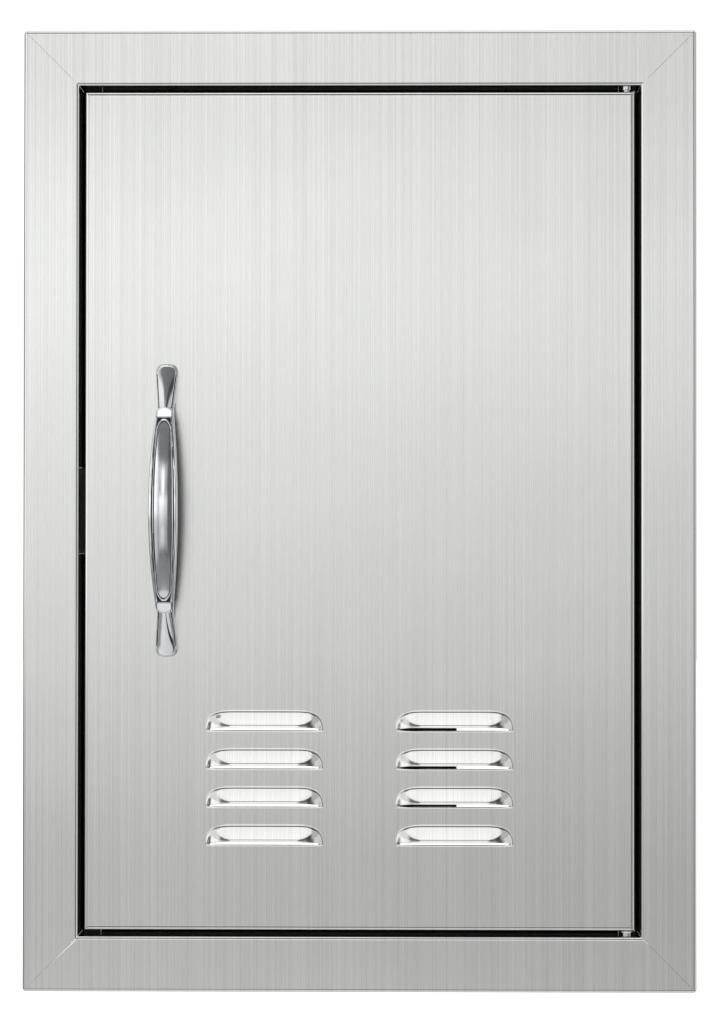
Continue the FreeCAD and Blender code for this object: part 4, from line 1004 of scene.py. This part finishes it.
def foot_relief(beside, away, along, half):
    """Sides that fall from the ridge of a foot, the line cut round it and its rounded edge"""
    flare = HANDLE_REACH - FOOT_HALF
    inside = half - abs(beside)
    if away > flare:
        reach = (abs(beside) ** FOOT_POWER + (away - flare) ** FOOT_POWER) ** (1 / FOOT_POWER)
        inside = FOOT_HALF - reach
    fall = (SIDE_FALL - SIDE_EASE * along) * (abs(beside) / max(half, 1 * MM)) ** SIDE_POWER
    line = max(0.0, 1 - abs(inside - FOOT_LINE) / FOOT_LINE_HALF) * FOOT_LINE_HALF
    return -fall - line - edge_fall(inside, EDGE_ROUND)


def front_relief(sizes, beside, height, half):
    """Height of the handle's front over its plain outline"""
    away = abs(height)
    if away <= sizes.bow_reach:
        return grip_relief(sizes, beside, height, half - abs(beside))
    neck = sizes.bow_reach + sizes.collar
    bulge = COLLAR_BULGE * (1 - (beside / FACET_HALF) ** 2)
    if away <= neck - COLLAR_BULGE + max(bulge, 0.0):
        if away < sizes.bow_reach + GROOVE_LENGTH:
            return -GROOVE_DEPTH
        return COLLAR_RISE - max(0.0, abs(beside) - FACET_HALF) * FACET_SLOPE
    return foot_relief(beside, away, (away - neck) / (HANDLE_REACH - neck), half)


def section_place(sizes, number, height):
    """How far beside the middle and off the door a point of a section lies, front first"""
    half, under, front = handle_outline(sizes, height)
    if number <= FRONT_STEPS:
        beside = half * (2 * number / FRONT_STEPS - 1)
        stand = front + front_relief(sizes, beside, height, half)
        return beside, max(stand, under + LEAST_BODY * (front - under))
    beside = BACK_WIDTH * half * (1 - 2 * (number - FRONT_STEPS - 1) / BACK_STEPS)
    if under > 0:
        under += edge_fall(half - abs(beside), min(BACK_ROUND, LEAST_BODY * half))
    return beside, under


def front_finish(sizes, beside, height):
    """Finish of the handle's front at a place"""
    away = abs(height)
    inside = handle_outline(sizes, height)[0] - abs(beside)
    if away > sizes.bow_reach + sizes.collar:
        on_line = abs(inside - FOOT_LINE) < 0.7 * FOOT_LINE_HALF
        # the cut line round a foot gets the dark finish, painted shade in the crease
        return PAINTED_SHADE if on_line and away < HANDLE_REACH - FOOT_HALF else BRIGHT
    if away > sizes.bow_reach:
        return BRIGHT
    share, dome_half = dome_share(beside, height)
    if share < 1:
        return SATIN
    off_bead = abs((share - 1) * dome_half - BEAD_PLACE)
    # the channels beside the bead get the dark finish, painted shade in the creases
    return PAINTED_SHADE if off_bead > BEAD_HALF and inside > RIM_WIDTH else BRIGHT


def section_heights(sizes):
    """Heights of the handle's sections, from its lower end to its upper"""
    flare = HANDLE_REACH - FOOT_HALF
    upper = grid_lines(0.0, [
        (DOME_ROUND, 90),
        (DOME_REACH + BEAD_PLACE + BEAD_HALF, 30),
        (sizes.bow_reach, 4),
        (sizes.bow_reach + sizes.collar, 24),
        (flare, 45),
    ])
    for ring in range(1, TIP_RINGS + 1):
        upper.append(flare + FOOT_HALF * math.sin(TIP_TURN * ring / TIP_RINGS))
    return [-height for height in reversed(upper[1:])] + upper


def in_order(ring):
    """The points of a ring one after another along its edges"""
    loose = set(ring)
    here = ring[0]
    ordered = []
    while here:
        ordered.append(here)
        loose.discard(here)
        beside = (edge.other_vert(here) for edge in here.link_edges)
        here = next((vert for vert in beside if vert in loose), None)
    return ordered


class ACCESSDOOR_OT_handle(bpy.types.Operator):
    """Cast the bow handle, with the dome and bead along its grip"""

    bl_idname = "access_door.handle"
    bl_label = "Handle"

    def execute(self, context):
        sizes = context.scene.door_handle
        low, high = (Vector(corner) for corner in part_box("handle"))
        middle = (low.x + high.x) / 2
        heights = section_heights(sizes)

        # a ring at the lower end is drawn up through every section, and closed at both ends
        bm = bmesh.new()
        around = FRONT_STEPS + BACK_STEPS + 2
        ring = bmesh.ops.create_circle(bm, segments=around, radius=sizes.half_width)["verts"]
        edges = list(bm.edges)
        bmesh.ops.contextual_create(bm, geom=edges)
        for height in heights:
            if height != heights[0]:
                ring, edges = extruded(bm, edges)
            for number, vert in enumerate(in_order(ring)):
                beside, stand = section_place(sizes, number, height)
                vert.co = (middle + beside, high.y - stand, height)
        bmesh.ops.contextual_create(bm, geom=edges)
        bmesh.ops.recalc_face_normals(bm, faces=bm.faces)
        for face in bm.faces:
            if face.normal.y <= 0:
                place = face.calc_center_median()
                face.material_index = front_finish(sizes, place.x - middle, place.z)
        add_piece("bow_handle", bm, "handle", "bright_chrome", "satin_chrome", "dark_recess")
        return {"FINISHED"}


class StudioSettings(bpy.types.PropertyGroup):
    """Where the camera stands and how the studio is lit"""

    camera_distance: a_length(
        "Camera distance", "From the camera to the middle of the door's face", 1.430,
    )
    camera_side: an_angle(
        "Camera side angle", "How far the camera stands to the right of square on", 0.570,
    )
    camera_drop: an_angle("Camera drop angle", "How far the camera stands below square on", 0.581)
    camera_roll: an_angle("Camera roll", "Turn of the camera about its own line of sight", 0.053)
    camera_lens: FloatProperty(
        name="Camera lens",
        description="Focal length in millimetres, with 36 mm along the picture's height",
        default=95.27,
    )
    floor_radius: a_length("Floor radius", "Radius of the round studio floor", 4.0)


# the middle of the door's face, which the camera looks at
AIM = Vector((0.0, -12 * MM, -0.8 * MM))


def place_camera(scene):
    """Stands the camera where the photographer stood"""
    studio = scene.door_studio
    turn = (
        Matrix.Rotation(studio.camera_side, 4, "Z")
        @ Matrix.Rotation(math.radians(90) + studio.camera_drop, 4, "X")
        @ Matrix.Rotation(studio.camera_roll, 4, "Z")
    )
    camera = bpy.data.objects.new("camera", bpy.data.cameras.new("camera"))
    camera.data.lens = studio.camera_lens
    camera.data.sensor_width = 36
    camera.data.clip_start = 0.01
    camera.matrix_world = Matrix.Translation(AIM) @ turn @ Matrix.Translation(
        (0, 0, studio.camera_distance)
    )
    scene.collection.objects.link(camera)
    scene.camera = camera


def light_studio(scene):
    """Lights the room in bands of bright and dark, so that bare metal has something to show"""
    world = bpy.data.worlds.new("studio")
    scene.world = world
    world.use_nodes = True
    tree = world.node_tree
    tree.nodes.clear()
    place = put(tree, "TexCoord", {})
    xyz = put(tree, "SeparateXYZ", {0: place.outputs["Generated"]})
    height = put(tree, "Math", {0: xyz.outputs["Z"]}, operation="ARCSINE")
    to_camera = put(tree, "Math", {0: xyz.outputs["Y"], 1: -1.0}, operation="MULTIPLY")
    around = put(tree, "Math", {0: xyz.outputs["X"], 1: to_camera}, operation="ARCTAN2")

    def by_angle(angle, lowest, highest, levels):
        """Brightness along an angle in degrees"""
        ends = {"From Min": math.radians(lowest), "From Max": math.radians(highest)}
        share = put(tree, "MapRange", {"Value": angle, **ends})
        stops = [((at - lowest) / (highest - lowest), level / LEVEL_UNIT) for at, level in levels]
        return put(tree, "ValToRGB", {"Fac": share}, stops)

    total = None
    for by_height, by_side in STUDIO_BANDS:
        upward = by_angle(height, -90, 90, by_height)
        sideways = by_angle(around, -180, 180, by_side)
        total = put(
            tree, "Math", {0: upward, 1: sideways, 2: total or 0.0}, operation="MULTIPLY_ADD",
        )
    lit = put(tree, "Math", {0: total, 1: LEVEL_UNIT ** 2}, operation="MULTIPLY")
    seen = put(tree, "LightPath", {})
    shown = put(
        tree, "Mix",
        {0: seen.outputs["Is Camera Ray"], 2: lit, 3: BACKGROUND_LEVEL},
        data_type="FLOAT",
    )
    light = put(tree, "Background", {"Color": (1, 1, 1, 1), "Strength": shown})
    put(tree, "OutputWorld", {"Surface": light})


# a ramp holds levels up to 1, so brightness is given in units of this
LEVEL_UNIT = 2.0
BACKGROUND_LEVEL = 1.05
# The room round the door: each band has its brightness by degrees above the horizon, and its share
# of that by degrees to the right of the camera. The first and last level hold beyond their place.
STUDIO_BANDS = (
    # the middle of the big soft panel behind the camera
    (
        (
            (-24, 0), (-20, 0.8), (-12, 0.94), (-10.2, 0.9), (-9, 0.7), (-6.5, 0.66), (-3.6, 0.97),
            (-2, 1.06), (0.5, 1.14), (2.7, 1.25), (5.5, 1.48), (7, 1.49), (9, 1.2), (10.5, 1.15),
            (13, 1.6), (24, 1.6), (28, 0),
        ),
        ((-14, 0), (-7, 1.13), (0, 1.0), (7, 0.88), (14, 0)),
    ),
    # the sides of that panel, duller in the corners
    (
        (
            (-24, 0), (-20, 0.66), (-12, 0.64), (-8, 0.6), (-6.5, 0.62), (-3.6, 0.9), (-2, 0.99),
            (0.5, 1.07), (2.7, 1.2), (5.5, 1.42), (7, 1.32), (9, 0.88), (11, 0.52), (24, 0.9),
            (28, 0),
        ),
        ((-30, 0), (-27, 1.2), (-14, 1.2), (-7, 0), (7, 0), (14, 0.82), (27, 0.74), (30, 0)),
    ),
    # the window wall on the left, brighter above the sills
    (
        ((-28, 0), (-22, 0.5), (-4, 0.5), (-1, 1), (24, 1), (30, 0)),
        ((-88, 0), (-80, 1.6), (-50, 1.6), (-36, 1.1), (-32, 0.9), (-28, 0)),
    ),
    # the right side and the back of the room, at eye level
    (
        ((-28, 0), (-22, 1), (24, 1), (30, 0)),
        (
            (-180, 0.9), (-158, 0.85), (-140, 0.65), (-125, 0.45), (-108, 0.05), (-88, 0.05),
            (-80, 0), (28, 0), (32, 0.17), (47, 0.15), (55, 0.7), (62, 1.1), (98, 1.05),
            (106, 0.05), (125, 0.3), (140, 0.65), (158, 0.85), (180, 0.9),
        ),
    ),
    # the gap between the panel and the ceiling
    (
        ((24, 0), (29, 1), (56, 1), (61, 0)),
        (
            (-180, 0.6), (-120, 0.7), (-100, 1.1), (-46, 1.2), (-35, 0.26), (26, 0.22),
            (33, 0.08), (43, 0.1), (52, 0.75), (110, 0.7), (180, 0.6),
        ),
    ),
    # the gap below the panel
    (
        ((-46, 0), (-44, 1), (-28, 1), (-22, 0)),
        ((-100, 0.5), (-70, 0.4), (-28, 0.34), (28, 0.31), (70, 0.34), (100, 0.5)),
    ),
    # the light floor near the door
    (
        ((-60, 0), (-56, 1), (-46, 1), (-44, 0)),
        (
            (-180, 0.6), (-100, 0.8), (-45, 1.0), (-28, 0.95), (24, 0.85), (27, 0.02), (33, 0.02),
            (36, 0.9), (100, 0.8), (180, 0.6),
        ),
    ),
    # the ceiling, brighter over the left than over the right
    (
        ((56, 0), (61, 1.5), (90, 1.8)),
        ((-180, 0.8), (-120, 1), (45, 0.95), (65, 0.45), (120, 0.45), (150, 0.7), (180, 0.8)),
    ),
    # the rest of the floor
    (((-60, 1.05), (-56, 0)), ((-180, 1), (180, 1))),
)


class ACCESSDOOR_OT_stage(bpy.types.Operator):
    """Lay the studio floor, light the room and place the camera"""

    bl_idname = "access_door.stage"
    bl_label = "Stage"

    def execute(self, context):
        scene = context.scene
        scene.view_settings.view_transform = "Standard"
        bm = bmesh.new()
        bmesh.ops.create_circle(
            bm, cap_ends=True, segments=96, radius=scene.door_studio.floor_radius
        )
        bmesh.ops.translate(bm, verts=bm.verts, vec=(0, 0, CAD_BOUNDS[0][2]))
        mesh = bpy.data.meshes.new("studio_floor")
        bm.to_mesh(mesh)
        bm.free()
        mesh.materials.append(studio_floor(scene.door_colours))
        floor = bpy.data.objects.new("studio_floor", mesh)
        scene.collection.objects.link(floor)
        floor.visible_glossy = False
        light_studio(scene)
        place_camera(scene)
        return {"FINISHED"}


# the sweep's weave and its depth, and the light that it gives off
FLOOR_WEAVE = 4 * MM
FLOOR_RELIEF = 0.2 * MM
FLOOR_GLOW = 0.75


def studio_floor(colours):
    """Matt white sweep, lit from below so that it melts into the background"""
    material, tree = new_material("studio_floor")
    place = put(tree, "TexCoord", {})
    weave = put(
        tree, "TexNoise",
        {"Vector": place.outputs["Object"], "Scale": 1 / FLOOR_WEAVE, "Detail": 2.0},
    )
    bump = put(tree, "Bump", {"Strength": 0.05, "Distance": FLOOR_RELIEF, "Height": weave})
    shader = put(
        tree, "BsdfPrincipled",
        {
            "Base Color": (*colours.floor, 1.0),
            "Roughness": 0.9,
            "Specular IOR Level": 0.1,
            "Emission Color": (1, 1, 1, 1),
            "Emission Strength": FLOOR_GLOW,
            "Normal": bump,
        },
    )
    put(tree, "OutputMaterial", {"Surface": shader})
    return material


class ACCESSDOOR_PT_panel(bpy.types.Panel):
    """Lists the steps that finish the door"""

    bl_label = "Access door"
    bl_idname = "ACCESSDOOR_PT_panel"
    bl_space_type = "VIEW_3D"
    bl_region_type = "UI"
    bl_category = "Access door"

    def draw(self, context):
        for step in STEPS:
            self.layout.operator(step.bl_idname)
        for group in GROUPS:
            settings = getattr(context.scene, group)
            for name in settings.__annotations__:
                self.layout.prop(settings, name)


STEPS = (
    ACCESSDOOR_OT_finishes,
    ACCESSDOOR_OT_sheet_metal,
    ACCESSDOOR_OT_louvred_skin,
    ACCESSDOOR_OT_handle,
    ACCESSDOOR_OT_fittings,
    ACCESSDOOR_OT_stage,
)
GROUPS = {
    "door_sizes": DoorSizes,
    "door_skin": SkinSizes,
    "door_handle": HandleSizes,
    "door_colours": DoorColours,
    "door_studio": StudioSettings,
}
CLASSES = (*GROUPS.values(), *STEPS, ACCESSDOOR_PT_panel)


def register():
    for kind in CLASSES:
        bpy.utils.register_class(kind)
    for name, kind in GROUPS.items():
        setattr(bpy.types.Scene, name, PointerProperty(type=kind))


def unregister():
    for name in GROUPS:
        delattr(bpy.types.Scene, name)
    for kind in reversed(CLASSES):
        bpy.utils.unregister_class(kind)


def main():
    register()
    for step in STEPS:
        area, name = step.bl_idname.split(".")
        getattr(getattr(bpy.ops, area), name)()


if __name__ == "__main__":
    main()
